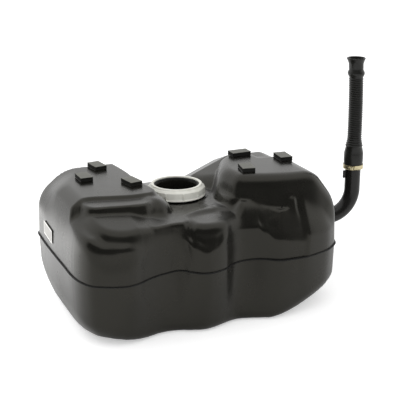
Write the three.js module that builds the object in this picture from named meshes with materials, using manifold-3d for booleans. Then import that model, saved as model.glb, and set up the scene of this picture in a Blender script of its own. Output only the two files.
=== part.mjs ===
// Blow-moulded car fuel tank with its pump lock ring, foam pads, filler elbow and ribbed filler hose.
// Millimetres, +Z up. The origin is the middle of the flat underside, which is the resting face.
import * as THREE from "three";
import { mergeVertices } from "three/addons/utils/BufferGeometryUtils.js";
import Module from "manifold-3d";

const wasm = await Module();
wasm.setup();

// Driving dimensions
const tank_length = 700; // along X
const tank_width = 470; // along Y
const tank_depth = 150; // from the parting flange down to the underside
const left_plateau = 158; // heights above the parting flange
const right_plateau = 190;
const saddle_height = 113;
const wall = 6;
const flange_lip = 8; // how far the parting flange stands out of the walls
const flange_thickness = 2.6;
const seat_gap = 0.3; // clearance between pieces that sit on each other
const overrun = 6; // how far every cutting solid runs past what it cuts
const mouth_x = tank_length * 0.466; // axis of the pump mouth
const mouth_y = tank_width * 0.566;
const filler_y = tank_width * 0.404; // axis of the filler where it leaves the right end
const filler_z = 29; // above the parting flange
const ring_rim = 72.5; // largest radius of the lock ring
const ring_room = 4; // free space that the moulding keeps around it

// Materials
const colour = (hex, roughness, metalness) =>
  new THREE.MeshStandardMaterial({ color: hex, roughness, metalness });
const tank_plastic = colour(0x17171a, 0.32, 0);
const ring_plastic = colour(0xe9ebe4, 0.45, 0);
const pad_foam = colour(0x2a2a28, 0.95, 0);
const seal_rubber = colour(0x151515, 0.8, 0);
const hose_rubber = colour(0x1b1b1c, 0.55, 0);
const pipe_rubber = colour(0x161617, 0.4, 0);
const label_paper = colour(0xf4f4f0, 0.6, 0);
const zinc_steel = colour(0xd8cf9a, 0.35, 1);
const valve_plastic = colour(0xd9d9d2, 0.5, 0);
const spring_steel = colour(0x9a9a98, 0.3, 1);

// Closed solids
const weld_reach = 0.0001; // vertices nearer than this are one

function weld(geometry) {
  const bare = geometry.index ? geometry.toNonIndexed() : geometry.clone();
  for (const name of Object.keys(bare.attributes)) {
    if (name !== "position") bare.deleteAttribute(name);
  }
  return mergeVertices(bare, weld_reach);
}

function signedVolume(points, index) {
  const a = new THREE.Vector3();
  const b = new THREE.Vector3();
  const c = new THREE.Vector3();
  let sum = 0;
  for (let i = 0; i < index.length; i += 3) {
    a.fromArray(points, index[i] * 3);
    b.fromArray(points, index[i + 1] * 3);
    c.fromArray(points, index[i + 2] * 3);
    sum += a.dot(b.cross(c));
  }
  return sum / 6;
}

function solid(geometry) {
  const welded = weld(geometry);
  const points = Float32Array.from(welded.attributes.position.array);
  const index = [];
  for (let i = 0; i < welded.index.count; i += 3) {
    const [a, b, c] = [0, 1, 2].map((k) => welded.index.array[i + k]);
    if (a !== b && b !== c && c !== a) index.push(a, b, c);
  }
  if (signedVolume(points, index) < 0) index.reverse();
  const mesh = new wasm.Mesh({ numProp: 3, vertProperties: points, triVerts: Uint32Array.from(index) });
  return new wasm.Manifold(mesh);
}

function geometryOf(manifold) {
  const mesh = manifold.getMesh();
  const geometry = new THREE.BufferGeometry();
  geometry.setAttribute("position", new THREE.BufferAttribute(Float32Array.from(mesh.vertProperties), 3));
  geometry.setIndex(new THREE.BufferAttribute(Uint32Array.from(mesh.triVerts), 1));
  return geometry;
}

// Turned, boxed and swept blanks
function turned(profile, sides) {
  const points = [...profile, profile[0]].map(([r, z]) => new THREE.Vector2(r, z));
  return solid(new THREE.LatheGeometry(points, sides).rotateX(Math.PI / 2));
}

function disc(radius, z_low, z_high, sides) {
  const geometry = new THREE.CylinderGeometry(radius, radius, z_high - z_low, sides);
  return solid(geometry.rotateX(Math.PI / 2).translate(0, 0, (z_low + z_high) / 2));
}

function tube(inner, outer, z_low, z_high, sides) {
  return turned([[inner, z_low], [outer, z_low], [outer, z_high], [inner, z_high]], sides);
}

function block(low, high) {
  const size = high.map((value, k) => value - low[k]);
  const geometry = new THREE.BoxGeometry(...size);
  return solid(geometry.translate(...low.map((value, k) => value + size[k] / 2)));
}

const alongX = (manifold) => manifold.rotate([0, 90, 0]);
const alongY = (manifold) => manifold.rotate([-90, 0, 0]);

class Helix extends THREE.Curve {
  constructor(radius, pitch, turns) {
    super();
    Object.assign(this, { radius, pitch, turns });
  }

  getPoint(t, target = new THREE.Vector3()) {
    const turned = this.turns * t;
    const angle = 2 * Math.PI * turned;
    return target.set(this.radius * Math.cos(angle), this.radius * Math.sin(angle), this.pitch * turned);
  }
}

function circlePoints(radius, sides) {
  return Array.from({ length: sides }, (unused, k) => {
    const angle = (2 * Math.PI * k) / sides;
    return new THREE.Vector2(radius * Math.cos(angle), radius * Math.sin(angle));
  });
}

const coil_steps = 8; // in each turn
const wire_sides = 5;

function coil(radius, wire, pitch, turns) {
  const section = new THREE.Shape(circlePoints(wire / 2, wire_sides));
  const extrudePath = new Helix(radius, pitch, turns);
  return solid(new THREE.ExtrudeGeometry(section, { extrudePath, steps: turns * coil_steps }));
}

// A screw ridge: four section corners carried up a helix, closed at both ends
function helicalRidge(base_radius, tip_radius, width, pitch, z_start, turns, steps_per_turn) {
  const steps = Math.round(turns * steps_per_turn);
  const section = [
    [base_radius, -width / 2], [tip_radius, -width / 4], [tip_radius, width / 4], [base_radius, width / 2],
  ];
  const points = [];
  const faces = [0, 1, 2, 0, 2, 3];
  for (let i = 0; i <= steps; i += 1) {
    const turn = (turns * i) / steps;
    const angle = 2 * Math.PI * turn;
    for (const [r, z] of section) {
      points.push(r * Math.cos(angle), r * Math.sin(angle), z_start + z + pitch * turn);
    }
  }
  for (let i = 0; i < steps; i += 1) {
    for (let k = 0; k < 4; k += 1) {
      const [a, b] = [4 * i + k, 4 * i + ((k + 1) % 4)];
      faces.push(a, a + 4, b, b, a + 4, b + 4);
    }
  }
  const last = 4 * steps;
  faces.push(last, last + 2, last + 1, last, last + 3, last + 2);
  const geometry = new THREE.BufferGeometry();
  geometry.setAttribute("position", new THREE.Float32BufferAttribute(points, 3));
  geometry.setIndex(faces);
  return solid(geometry);
}

// Plan outlines, as shares of the tank's length and width, anticlockwise from the left end
const flange_shares = [
  [0.002, 0.83], [0, 0.6], [0.0015, 0.4], [0.004, 0.22], [0.017, 0.134], [0.039, 0.074], [0.066, 0.045],
  [0.109, 0.015], [0.156, 0], [0.193, 0.011], [0.234, 0.045], [0.277, 0.074], [0.316, 0.089],
  [0.353, 0.096], [0.379, 0.057], [0.403, 0.021], [0.434, 0.002], [0.471, 0.009], [0.516, 0.036],
  [0.55, 0.076], [0.58, 0.093], [0.612, 0.093], [0.644, 0.082], [0.671, 0.055], [0.699, 0.023],
  [0.734, 0.015], [0.771, 0.015], [0.811, 0.019], [0.859, 0.038], [0.91, 0.068], [0.943, 0.104],
  [0.973, 0.151], [0.99, 0.219], [0.998, 0.32], [1, 0.6], [0.998, 0.83], [0.988, 0.93], [0.957, 0.984],
  [0.9, 0.997], [0.6, 1], [0.3, 0.9995], [0.09, 0.996], [0.034, 0.982], [0.009, 0.94],
];
const corner_shares = [[0.033, 0.09], [0.955, 0.12], [0.982, 0.95], [0.018, 0.966]];
const lobe_left_shares = [
  [-0.05, 0.36], [0.05, 0.37], [0.1, 0.41], [0.17, 0.39], [0.244, 0.365], [0.299, 0.365], [0.33, 0.375],
  [0.345, 0.42], [0.342, 0.5], [0.33, 0.6], [0.326, 0.8], [0.315, 0.95], [0.3, 1.1], [0, 1.1],
  [-0.05, 0.9],
];
const ridge_shares = [
  [0.02, 0.42], [0.021, 0.3], [0.026, 0.19], [0.041, 0.125], [0.062, 0.105], [0.085, 0.12], [0.1, 0.17],
  [0.11, 0.3], [0.1, 0.45], [0.03, 0.47],
];
const shelf_shares = [
  [0.083, 0.34], [0.081, 0.24], [0.09, 0.165], [0.11, 0.115], [0.14, 0.088], [0.175, 0.078],
  [0.22, 0.09], [0.265, 0.102], [0.3, 0.118], [0.335, 0.14], [0.36, 0.18], [0.355, 0.26], [0.34, 0.5],
  [0.09, 0.5],
];
const strip_shares = [
  [0.08, 0.5], [0.082, 0.34], [0.1, 0.294], [0.156, 0.277], [0.221, 0.261], [0.272, 0.255],
  [0.3, 0.29], [0.29, 0.5],
];
const nose_shares = [
  [0.28, 0.5], [0.285, 0.37], [0.3, 0.3], [0.326, 0.272], [0.35, 0.29], [0.364, 0.35], [0.366, 0.43],
  [0.352, 0.52],
];
const saddle_shares = [
  [0.26, 0.12], [0.33, 0.128], [0.374, 0.13], [0.396, 0.155], [0.412, 0.215], [0.45, 0.25],
  [0.527, 0.262], [0.593, 0.235], [0.66, 0.33], [0.66, 1.1], [0.26, 1.1],
];
const terrace_shares = [
  [0.408, 0.24], [0.402, 0.15], [0.412, 0.1], [0.437, 0.074], [0.473, 0.066], [0.514, 0.08],
  [0.55, 0.115], [0.59, 0.148], [0.64, 0.152], [0.7, 0.13], [0.755, 0.112], [0.795, 0.1],
  [0.82, 0.14], [0.8, 0.3], [0.5, 0.32],
];
const ledge_shares = [
  [0.575, 0.33], [0.59, 0.25], [0.648, 0.215], [0.7, 0.187], [0.749, 0.165], [0.783, 0.13],
  [0.8, 0.2], [0.8, 0.4], [0.6, 0.45],
];
const lobe_right_shares = [
  [0.6, 0.42], [0.603, 0.33], [0.615, 0.265], [0.65, 0.235], [0.71, 0.2], [0.775, 0.175],
  [0.84, 0.165], [0.9, 0.18], [1.05, 0.28], [1.08, 0.5], [1.05, 0.68], [0.8, 0.69], [0.68, 0.66],
  [0.635, 0.56],
];
const corner_right_shares = [
  [0.812, 0.26], [0.808, 0.1], [0.812, 0.02], [0.85, 0.005], [0.95, 0.02], [1.05, 0.1], [1.1, 0.5],
  [1.05, 1.05], [0.8, 1.05],
];
const back_ramp_shares = [
  [0.565, 0.72], [0.6, 0.62], [0.68, 0.5], [0.9, 0.5], [1.06, 0.66], [1.06, 1.1], [0.56, 1.1],
];

// Height of the walls' top edge along the length, and how fast the shoulder climbs inward from it
const front_edge_shares = [
  [0, 0.62], [0.043, 0.61], [0.086, 0.58], [0.157, 0.565], [0.214, 0.54], [0.25, 0.55], [0.279, 0.61],
  [0.341, 0.62], [0.374, 0.54], [0.4, 0.42], [0.433, 0.36], [0.471, 0.385], [0.503, 0.47], [0.53, 0.515],
  [0.561, 0.52], [0.646, 0.505], [0.667, 0.43], [0.697, 0.315], [0.759, 0.29], [0.8, 0.27], [0.86, 0.3],
  [1, 0.5],
];
const shoulder_climb_shares = [
  [0, 0.3], [0.06, 0.1], [0.25, 0.05], [0.36, 0.2], [0.49, 0.2], [0.54, 0.4], [0.65, 0.7], [0.69, 1.75],
  [1, 1.75],
];

const edge_round_shares = [
  [0, 0.16], [0.1, 0.13], [0.15, 0.07], [0.28, 0.07], [0.42, 0.08], [0.5, 0.04], [0.7, 0.04], [0.8, 0.09],
  [1, 0.15],
];

// The tank's form is a field that is negative inside, built from tiers that are blended together
function closedOutline(shares, samples) {
  const points = shares.map(([x, y]) => new THREE.Vector3(x * tank_length, y * tank_width, 0));
  const curve = new THREE.CatmullRomCurve3(points, true, "centripetal");
  return curve.getPoints(samples).slice(0, samples).map((p) => [p.x, p.y]);
}

function planDistance(outline) {
  const edges = outline.map((a, k) => {
    const b = outline[(k + 1) % outline.length];
    return [a[0], a[1], b[0] - a[0], b[1] - a[1]];
  });
  return (x, y) => {
    let nearest = Infinity;
    let inside = false;
    for (const [ax, ay, ex, ey] of edges) {
      const px = x - ax;
      const py = y - ay;
      const t = Math.min(1, Math.max(0, (px * ex + py * ey) / (ex * ex + ey * ey)));
      nearest = Math.min(nearest, (px - ex * t) ** 2 + (py - ey * t) ** 2);
      if ((ay > y) !== (ay + ey > y) && px < (ex * (y - ay)) / ey) inside = !inside;
    }
    return (inside ? -1 : 1) * Math.sqrt(nearest);
  };
}

function alongLength(shares, x) {
  const t = x / tank_length;
  let k = 1;
  while (k < shares.length - 1 && shares[k][0] < t) k += 1;
  const [t0, v0] = shares[k - 1];
  const [t1, v1] = shares[k];
  const s = THREE.MathUtils.smoothstep(t, t0, t1);
  return v0 + (v1 - v0) * s;
}

function roundedMax(a, b, radius) {
  const both = Math.hypot(Math.max(a + radius, 0), Math.max(b + radius, 0));
  return Math.min(Math.max(a + radius, b + radius), 0) + both - radius;
}

function blendedMin(a, b, fillet) {
  const near = Math.max(fillet - Math.abs(a - b), 0) / fillet;
  return Math.min(a, b) - (near * near * fillet) / 4;
}

function tier(shares, top, lean_share, radius, blend) {
  const distance = planDistance(closedOutline(shares, shares.length * 4));
  const field = (x, y, z) => {
    const height = top(x, y);
    return roundedMax(distance(x, y) + lean_share * (z - height), z - height, radius);
  };
  return { field, blend };
}

const flange_outline = closedOutline(flange_shares, flange_shares.length * 4);
const flangeDistance = planDistance(flange_outline);
const tight_round = 6;
const soft_round = 12;
const full_round = 18;
const wide_round = 24;
const fillet = 9;
const soft_fillet = 18;
const wall_draft_share = 0.03;
const rim_lean_share = 0.3; // how far the tiers' sides lean inward as they rise
const side_lean_share = 0.35;
const lobe_lean_share = 0.25;
const terrace_lean_share = 0.22;
const ridge_lean_share = 0.45;
const ramp_lean_share = 0.5;
const corner_lean_share = 0.1;

const shelf_low = 117;
const shelf_climb_share = 0.2;
const ridge_low = 100;
const ridge_climb_share = 0.21;
const strip_height = 150;
const nose_height = 150;
const terrace_height = 109;
const terrace_fall_share = 0.07;
const terrace_climb_share = 0.75;
const terrace_rise_run = 36; // how far the terrace climbs towards the right plateau
const terrace_ease = 30;
const ledge_height = 138;
const saddle_fall_share = 0.18;
const lobe_dip_depth = 20; // the right plateau's outer corner is this much lower
const lobe_dip_ease = 30;
const lobe_dip_run = 50;
const corner_fall_share = 0.25;
const corner_low = 58;
const corner_climb_share = 1.75;
const ramp_height = 128;
const ramp_climb_share = 0.42;
const ramp_crest = 172;
const ramp_fall_share = 0.4;
const ramp_end_fall_share = 0.35;
const shelf_front = tank_width * 0.09;
const strip_back = tank_width * 0.36;
const ramp_front = tank_width * 0.766;
const ramp_left = tank_length * 0.574;
const ramp_right = tank_length * 0.857;
const shelf_turn = tank_length * 0.214;
const terrace_turn = tank_length * 0.571;
const terrace_foot = tank_width * 0.125;
const saddle_turn = tank_width * 0.745;
const lobe_turn = tank_length * 0.769;
const lobe_dip = tank_width * 0.51;

const pastEdge = (value, start, reach) => THREE.MathUtils.smoothstep(value, start, start + reach);
const outerWall = (x, y, z) => {
  const out = flangeDistance(x, y) + flange_lip + wall_draft_share * z;
  const edge = alongLength(front_edge_shares, x) * left_plateau;
  const top = edge + alongLength(shoulder_climb_shares, x) * Math.max(-out, 0);
  const edge_round = alongLength(edge_round_shares, x) * left_plateau;
  return roundedMax(out, z - Math.min(top, saddleTop(x, y)), edge_round);
};
const saddleTop = (x, y) => saddle_height - saddle_fall_share * Math.max(0, y - saddle_turn);
const ridgeTop = (x, y) => ridge_low + ridge_climb_share * (y - shelf_front);
const shelfTop = (x, y) => {
  const climb = Math.min(y, strip_back) - shelf_front - Math.max(0, x - shelf_turn);
  return shelf_low + shelf_climb_share * climb;
};
const terraceTop = (x, y) => {
  const climb = THREE.MathUtils.clamp(y - terrace_foot, 0, terrace_rise_run);
  const slope = terrace_climb_share * climb * pastEdge(x, terrace_turn, terrace_ease);
  return terrace_height + slope - terrace_fall_share * Math.max(0, x - terrace_turn);
};
const lobeRightTop = (x, y) => {
  const dip_share = pastEdge(x, lobe_turn, lobe_dip_ease) * pastEdge(y, lobe_dip, lobe_dip_run);
  return right_plateau - lobe_dip_depth * dip_share;
};
const cornerTop = (x, y) => {
  const depth = Math.max(0, -(flangeDistance(x, y) + flange_lip));
  const cap = right_plateau - soft_round - corner_fall_share * Math.max(0, y - lobe_dip);
  return Math.min(corner_low + corner_climb_share * depth, cap);
};
const rampTop = (x, y) => {
  const crest = ramp_crest - ramp_end_fall_share * Math.max(0, x - ramp_right);
  const climbed = Math.min(ramp_height + ramp_climb_share * (x - ramp_left), crest);
  return climbed - ramp_fall_share * Math.max(0, y - ramp_front);
};
const upper_tiers = [
  tier(ridge_shares, ridgeTop, ridge_lean_share, soft_round, soft_fillet),
  tier(shelf_shares, shelfTop, side_lean_share, soft_round, fillet),
  tier(strip_shares, () => strip_height, side_lean_share, tight_round, fillet),
  tier(nose_shares, () => nose_height, ridge_lean_share, wide_round, soft_fillet),
  tier(saddle_shares, saddleTop, rim_lean_share, tight_round, fillet),
  tier(lobe_left_shares, () => left_plateau, side_lean_share, soft_round, fillet),
  tier(terrace_shares, terraceTop, terrace_lean_share, full_round, soft_fillet),
  tier(ledge_shares, () => ledge_height, rim_lean_share, tight_round, fillet),
  tier(corner_right_shares, cornerTop, corner_lean_share, soft_round, fillet),
  tier(back_ramp_shares, rampTop, ramp_lean_share, wide_round, fillet),
  tier(lobe_right_shares, lobeRightTop, lobe_lean_share, wide_round, fillet),
];

// Slanting ends: each plane falls outward from a crest on the plateau
const end_crest_share = 0.052; // where the left slope meets the plateau, from the left end
const left_crest_drop = 6; // how far below the plateau that slope's crest lies
const left_crease = 98; // where it meets the left wall
const left_crest_growth = 40; // how much further in the crest lies at the back
const left_crest_run = 150;
const left_crest_turn = tank_width * 0.638;
const right_crest_share = 0.113; // the same at the right end
const right_crease = 92;

function slantedEnd(inset, z, crest_inset, crest_height, crease_height) {
  const run = crest_inset - flange_lip;
  const rise = crest_height - crease_height;
  return ((crest_inset - inset) * rise + (z - crest_height) * run) / Math.hypot(run, rise);
}

const left_crest = left_plateau - left_crest_drop;
const leftSlope = (x, y, z) => {
  const growth = left_crest_growth * pastEdge(y, left_crest_turn, left_crest_run);
  return slantedEnd(x, z, end_crest_share * tank_length + growth, left_crest, left_crease);
};
const rightSlope = (x, y, z) =>
  slantedEnd(tank_length - x, z, right_crest_share * tank_length, right_plateau, right_crease);

function upperField(x, y, z) {
  let value = outerWall(x, y, z);
  for (const { field, blend } of upper_tiers) {
    value = blendedMin(value, field(x, y, z), blend);
  }
  const out = flangeDistance(x, y) + flange_lip + wall_draft_share * z;
  value = roundedMax(value, out, soft_round);
  value = roundedMax(value, leftSlope(x, y, z), wide_round);
  return roundedMax(value, rightSlope(x, y, z), wide_round);
}

const keel_round = 20;
const base_trim = 0.6; // shaved off to leave an exactly flat resting face

// Outline of the underside, which waves less than the flange does
const keel_shares = [
  [0.002, 0.83], [0, 0.6], [0.0015, 0.4], [0.004, 0.22], [0.017, 0.134], [0.039, 0.074], [0.066, 0.045],
  [0.109, 0.02], [0.156, 0.008], [0.2, 0.018], [0.243, 0.036], [0.293, 0.055], [0.335, 0.05],
  [0.38, 0.024], [0.43, 0.006], [0.481, 0.018], [0.53, 0.044], [0.566, 0.056], [0.62, 0.034],
  [0.677, 0.006], [0.73, 0.008], [0.78, 0.02], [0.859, 0.04], [0.91, 0.068], [0.943, 0.104],
  [0.973, 0.151], [0.99, 0.219], [0.998, 0.32], [1, 0.6], [0.998, 0.83], [0.988, 0.93], [0.957, 0.984],
  [0.9, 0.997], [0.6, 1], [0.3, 0.9995], [0.09, 0.996], [0.034, 0.982], [0.009, 0.94],
];
const keelDistance = planDistance(closedOutline(keel_shares, keel_shares.length * 4));

// Slanting cuts under the corners and ends. Reach and round are shares of the tank's depth.
const keel_cut_shares = [
  { right: false, back: false, across: 0.8, reach: 0.72, slope: 0.5, round: 0.167 },
  { right: false, back: false, across: 1, reach: 0.2, slope: 1.2, round: 0.2 },
  { right: true, back: false, across: 0.8, reach: 1.107, slope: 0.56, round: 0.133 },
  { right: false, back: true, across: 0.6, reach: 0.667, slope: 0.75, round: 0.233 },
  { right: true, back: true, across: 0.8, reach: 0.8, slope: 0.8, round: 0.233 },
];

function lowerField(x, y, z) {
  const sunk_share = THREE.MathUtils.clamp(-z / tank_depth, 0, 1);
  const outline = THREE.MathUtils.lerp(flangeDistance(x, y), keelDistance(x, y), sunk_share);
  const out = outline + flange_lip - wall_draft_share * z;
  let value = roundedMax(out, -z - tank_depth - base_trim, keel_round);
  for (const { right, back, across, reach, slope, round } of keel_cut_shares) {
    const side = right ? tank_length - x : x;
    const end = back ? tank_width - y : y;
    const inset = across * side + Math.sqrt(1 - across * across) * end;
    const cut = ((reach * tank_depth - inset) * slope - (z + tank_depth)) / Math.hypot(slope, 1);
    value = roundedMax(value, cut, round * tank_depth);
  }
  return value;
}

// A field is met by rays that fan out from a flat plate inside the tank
const plate_low = [tank_length * 0.21, tank_width * 0.36];
const plate_high = [tank_length * 0.8, tank_width * 0.7];
const fan_power = 1.6;
const ray_step = 4;
const probe_step = 0.5; // over which the field's slope is measured
const halvings = 14;
const relax_rounds = 2;
const pulls = 5; // steps back to the surface after each round

function perimeterLookup(outline) {
  const nearestTo = ([x, y]) => {
    const gaps = outline.map((p) => Math.hypot(p[0] - x * tank_length, p[1] - y * tank_width));
    return gaps.indexOf(Math.min(...gaps));
  };
  const corners = corner_shares.map(nearestTo);
  const sides = corners.map((from, k) => {
    const to = corners[(k + 1) % corners.length];
    const points = [outline[from]];
    for (let i = from; i !== to; i = (i + 1) % outline.length) {
      points.push(outline[(i + 1) % outline.length]);
    }
    const lengths = [0];
    points.slice(1).forEach((p, i) => {
      lengths.push(lengths[i] + Math.hypot(p[0] - points[i][0], p[1] - points[i][1]));
    });
    return { points, lengths };
  });
  return (side, share) => {
    const { points, lengths } = sides[side];
    const wanted = share * lengths[lengths.length - 1];
    let k = 1;
    while (k < lengths.length - 1 && lengths[k] < wanted) k += 1;
    const t = (wanted - lengths[k - 1]) / (lengths[k] - lengths[k - 1]);
    return [0, 1].map((axis) => points[k - 1][axis] + (points[k][axis] - points[k - 1][axis]) * t);
  };
}

const perimeter = perimeterLookup(flange_outline);

function onSquare(u, v) {
  if (v <= -Math.abs(u)) return perimeter(0, (u / -v + 1) / 2);
  if (u >= Math.abs(v)) return perimeter(1, (v / u + 1) / 2);
  if (v >= Math.abs(u)) return perimeter(2, (1 - u / v) / 2);
  return perimeter(3, (1 - v / -u) / 2);
}

function crossing(field, origin, direction) {
  const value = (t) => field(...origin.map((o, k) => o + direction[k] * t));
  let far = ray_step;
  while (value(far) < 0 && far < tank_length) far += ray_step;
  let near = far - ray_step;
  for (let i = 0; i < halvings; i += 1) {
    const middle = (near + far) / 2;
    if (value(middle) < 0) near = middle;
    else far = middle;
  }
  return origin.map((o, k) => o + direction[k] * near);
}

const footOn = (p, high) => p.map((value, k) => THREE.MathUtils.clamp(value, plate_low[k], high[k]));

function skinPoint(field, u, v) {
  const reach = Math.max(Math.abs(u), Math.abs(v));
  const centre = plate_low.map((low, k) => (low + plate_high[k]) / 2);
  if (reach === 0) return crossing(field, [...centre, 0], [0, 0, 1]);
  const rim = onSquare(u, v);
  const foot = footOn(rim, plate_high);
  const origin = foot.map((value, k) => centre[k] + (value - centre[k]) * reach);
  const away = [rim[0] - foot[0], rim[1] - foot[1]];
  const span = Math.hypot(...away);
  const tilt = (Math.PI / 2) * (1 - reach ** fan_power);
  const level = Math.cos(tilt) / span;
  return crossing(field, [...origin, 0], [away[0] * level, away[1] * level, Math.sin(tilt)]);
}

function pulledOnto(field, p) {
  const value = field(...p);
  const slope = [0, 1, 2].map((k) => {
    const q = [...p];
    q[k] += probe_step;
    return (field(...q) - value) / probe_step;
  });
  const size = slope.reduce((sum, s) => sum + s * s, 0) || 1;
  const move = Math.max(-ray_step, Math.min(ray_step, value / Math.sqrt(size))) / Math.sqrt(size);
  return p.map((c, k) => c - slope[k] * move);
}

// A closed solid: the skin over the field, and a flat cap at the parting plane
function skinSolid(field, columns, rows) {
  const index = (i, j) => j * (columns + 1) + i;
  let points = [];
  for (let j = 0; j <= rows; j += 1) {
    for (let i = 0; i <= columns; i += 1) {
      points.push(skinPoint(field, (2 * i) / columns - 1, (2 * j) / rows - 1));
    }
  }
  for (let round = 0; round < relax_rounds; round += 1) {
    const before = points;
    points = before.map((p) => [...p]);
    for (let j = 1; j < rows; j += 1) {
      for (let i = 1; i < columns; i += 1) {
        const around = [index(i - 1, j), index(i + 1, j), index(i, j - 1), index(i, j + 1)];
        const mean = [0, 1, 2].map((k) => around.reduce((sum, n) => sum + before[n][k], 0) / 4);
        let moved = before[index(i, j)].map((c, k) => (c + mean[k]) / 2);
        for (let pull = 0; pull < pulls; pull += 1) moved = pulledOnto(field, moved);
        points[index(i, j)] = moved;
      }
    }
  }
  const rim = [];
  for (let i = 0; i < columns; i += 1) rim.push(index(i, 0));
  for (let j = 0; j < rows; j += 1) rim.push(index(columns, j));
  for (let i = columns; i > 0; i -= 1) rim.push(index(i, rows));
  for (let j = rows; j > 0; j -= 1) rim.push(index(0, j));
  const faces = [];
  for (let j = 0; j < rows; j += 1) {
    for (let i = 0; i < columns; i += 1) {
      const [a, b, c, d] = [index(i, j), index(i + 1, j), index(i + 1, j + 1), index(i, j + 1)];
      const outward = (i < columns / 2) === (j < rows / 2); // diagonals run out to the corners
      faces.push(...(outward ? [a, b, c, a, c, d] : [a, b, d, b, c, d]));
    }
  }
  const flat = rim.map((n) => new THREE.Vector2(points[n][0], points[n][1]));
  for (const [a, b, c] of THREE.ShapeUtils.triangulateShape(flat, [])) {
    faces.push(rim[a], rim[c], rim[b]);
  }
  const geometry = new THREE.BufferGeometry();
  geometry.setAttribute("position", new THREE.Float32BufferAttribute(points.flat(), 3));
  geometry.setIndex(faces);
  return solid(geometry);
}

function prism(outline, z_low, z_high) {
  const shape = new THREE.Shape(outline.map(([x, y]) => new THREE.Vector2(x, y)));
  const geometry = new THREE.ExtrudeGeometry(shape, { depth: z_high - z_low, bevelEnabled: false });
  return solid(geometry.translate(0, 0, z_low));
}

const flange_rim = flange_outline.filter((point, k) => k % 2 === 0);
const coarse_rim = flange_outline.filter((point, k) => k % 4 === 0);

const keel_high = [tank_length * 0.5, tank_width * 0.55]; // the plate stops short of the slanting end

// The closed line at one level where the field reaches a given depth
function contour(field, rim, level, depth) {
  return rim.map((p) => {
    const foot = footOn(p, keel_high);
    const away = [p[0] - foot[0], p[1] - foot[1]];
    const span = Math.hypot(...away);
    const deeper = (x, y, z) => field(x, y, z) + depth;
    return crossing(deeper, [...foot, level], [away[0] / span, away[1] / span, 0]);
  });
}

function loft(rings) {
  const count = rings[0].length;
  const last = (rings.length - 1) * count;
  const faces = [];
  for (let base = 0; base < last; base += count) {
    for (let k = 0; k < count; k += 1) {
      const [a, b] = [base + k, base + ((k + 1) % count)];
      faces.push(a, b, a + count, b, b + count, a + count);
    }
  }
  const middle = (ring) => [0, 1, 2].map((k) => ring.reduce((sum, p) => sum + p[k], 0) / count);
  const points = [...rings.flat(), middle(rings[0]), middle(rings[rings.length - 1])];
  const [start, end] = [points.length - 2, points.length - 1];
  for (let k = 0; k < count; k += 1) {
    const next = (k + 1) % count;
    faces.push(start, next, k, end, last + k, last + next);
  }
  const geometry = new THREE.BufferGeometry();
  geometry.setAttribute("position", new THREE.Float32BufferAttribute(points.flat(), 3));
  geometry.setIndex(faces);
  return solid(geometry);
}

// The upper hollow is cut in level slices, each following the skin from a wall's thickness inside it
const roof_margin = 8; // the hollow's tops stay this much lower than the wall asks
const side_margin = 4; // and its sides this much further in
const slice_step = 1;
const roof_depth = wall + roof_margin;
const side_depth = wall + side_margin;

function slice(field, shares, level) {
  const points = shares.map(([x, y]) => [x * tank_length, y * tank_width]);
  const centre = [0, 1].map((k) => points.reduce((sum, p) => sum + p[k], 0) / points.length);
  const outline = points.map((p) => {
    const span = Math.hypot(centre[0] - p[0], centre[1] - p[1]);
    const at = (gone) => p.map((c, k) => c + ((centre[k] - c) * gone) / span);
    let gone = 0;
    while (gone < span && field(...at(gone), level) > -side_depth) gone += slice_step;
    return at(gone);
  });
  return prism(outline, -overrun, level);
}

const hollow_tops = [
  { shares: flange_shares, top: saddle_height, level_shares: [0.32, 0.62] },
  { shares: lobe_left_shares, top: left_plateau, level_shares: [0.8] },
  { shares: lobe_right_shares, top: right_plateau, level_shares: [0.7, 0.84] },
];
const upper_slices = hollow_tops.flatMap(({ shares, top, level_shares }) => {
  const levels = [...level_shares.map((share) => share * top), top - roof_depth];
  return levels.map((level) => slice(upperField, shares, level));
});
const upper_hollow = upper_slices.reduce((sum, cut) => sum.add(cut));

// The lower half is lofted through level lines, and so is its hollow
const lower_level_shares = [0, 0.28, 0.42, 0.56, 0.69, 0.8, 0.89, 0.955, 1];
const hollow_level_shares = [0.28, 0.5, 0.68, 0.82];
const lower_levels = lower_level_shares.map((share) => -share * tank_depth);
const hollow_levels = hollow_level_shares.map((share) => -share * tank_depth);
const cut_levels = [overrun, ...hollow_levels, roof_depth - tank_depth];
const lower_skin = loft(lower_levels.map((level) => contour(lowerField, flange_rim, level, 0)));
const lower_hollow = loft(cut_levels.map((level) => contour(lowerField, coarse_rim, level, side_depth)));

const outer_columns = 46;
const outer_rows = 34;

// Group in the tank's own coordinates: left end, front and parting flange at zero
const tank = new THREE.Group();
tank.position.set(-tank_length / 2, -tank_width / 2, tank_depth);

function piece(name, manifold, material) {
  const mesh = new THREE.Mesh(geometryOf(manifold), material);
  mesh.name = name;
  tank.add(mesh);
}

// Pump mouth: a threaded neck moulded up out of the saddle
const neck_bore = 52;
const neck_outer = 58;
const neck_rise = 23; // above the saddle
const neck_top = saddle_height + neck_rise;
const thread_height = 2.2;
const thread_width = 3;
const thread_pitch = 8;
const thread_turns = 1.25;
const thread_rise = 7; // where the thread starts, above the saddle
const thread_start = saddle_height + thread_rise;
const thread_clearance = 0.5;
const neck_sides = 48;
const thread_steps = 24; // in each turn
const atMouth = (manifold) => manifold.translate([mouth_x, mouth_y, 0]);

const neck_blank = disc(neck_outer, saddle_height - 2 * wall, neck_top, neck_sides);
const neck_ridge = helicalRidge(
  neck_outer - wall / 2, neck_outer + thread_height, thread_width, thread_pitch,
  thread_start, thread_turns, thread_steps,
);
const mouth_cut = disc(neck_bore, 0, neck_top + overrun, neck_sides);
const ring_well = disc(ring_rim + ring_room, saddle_height, right_plateau + overrun, neck_sides);

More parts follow.
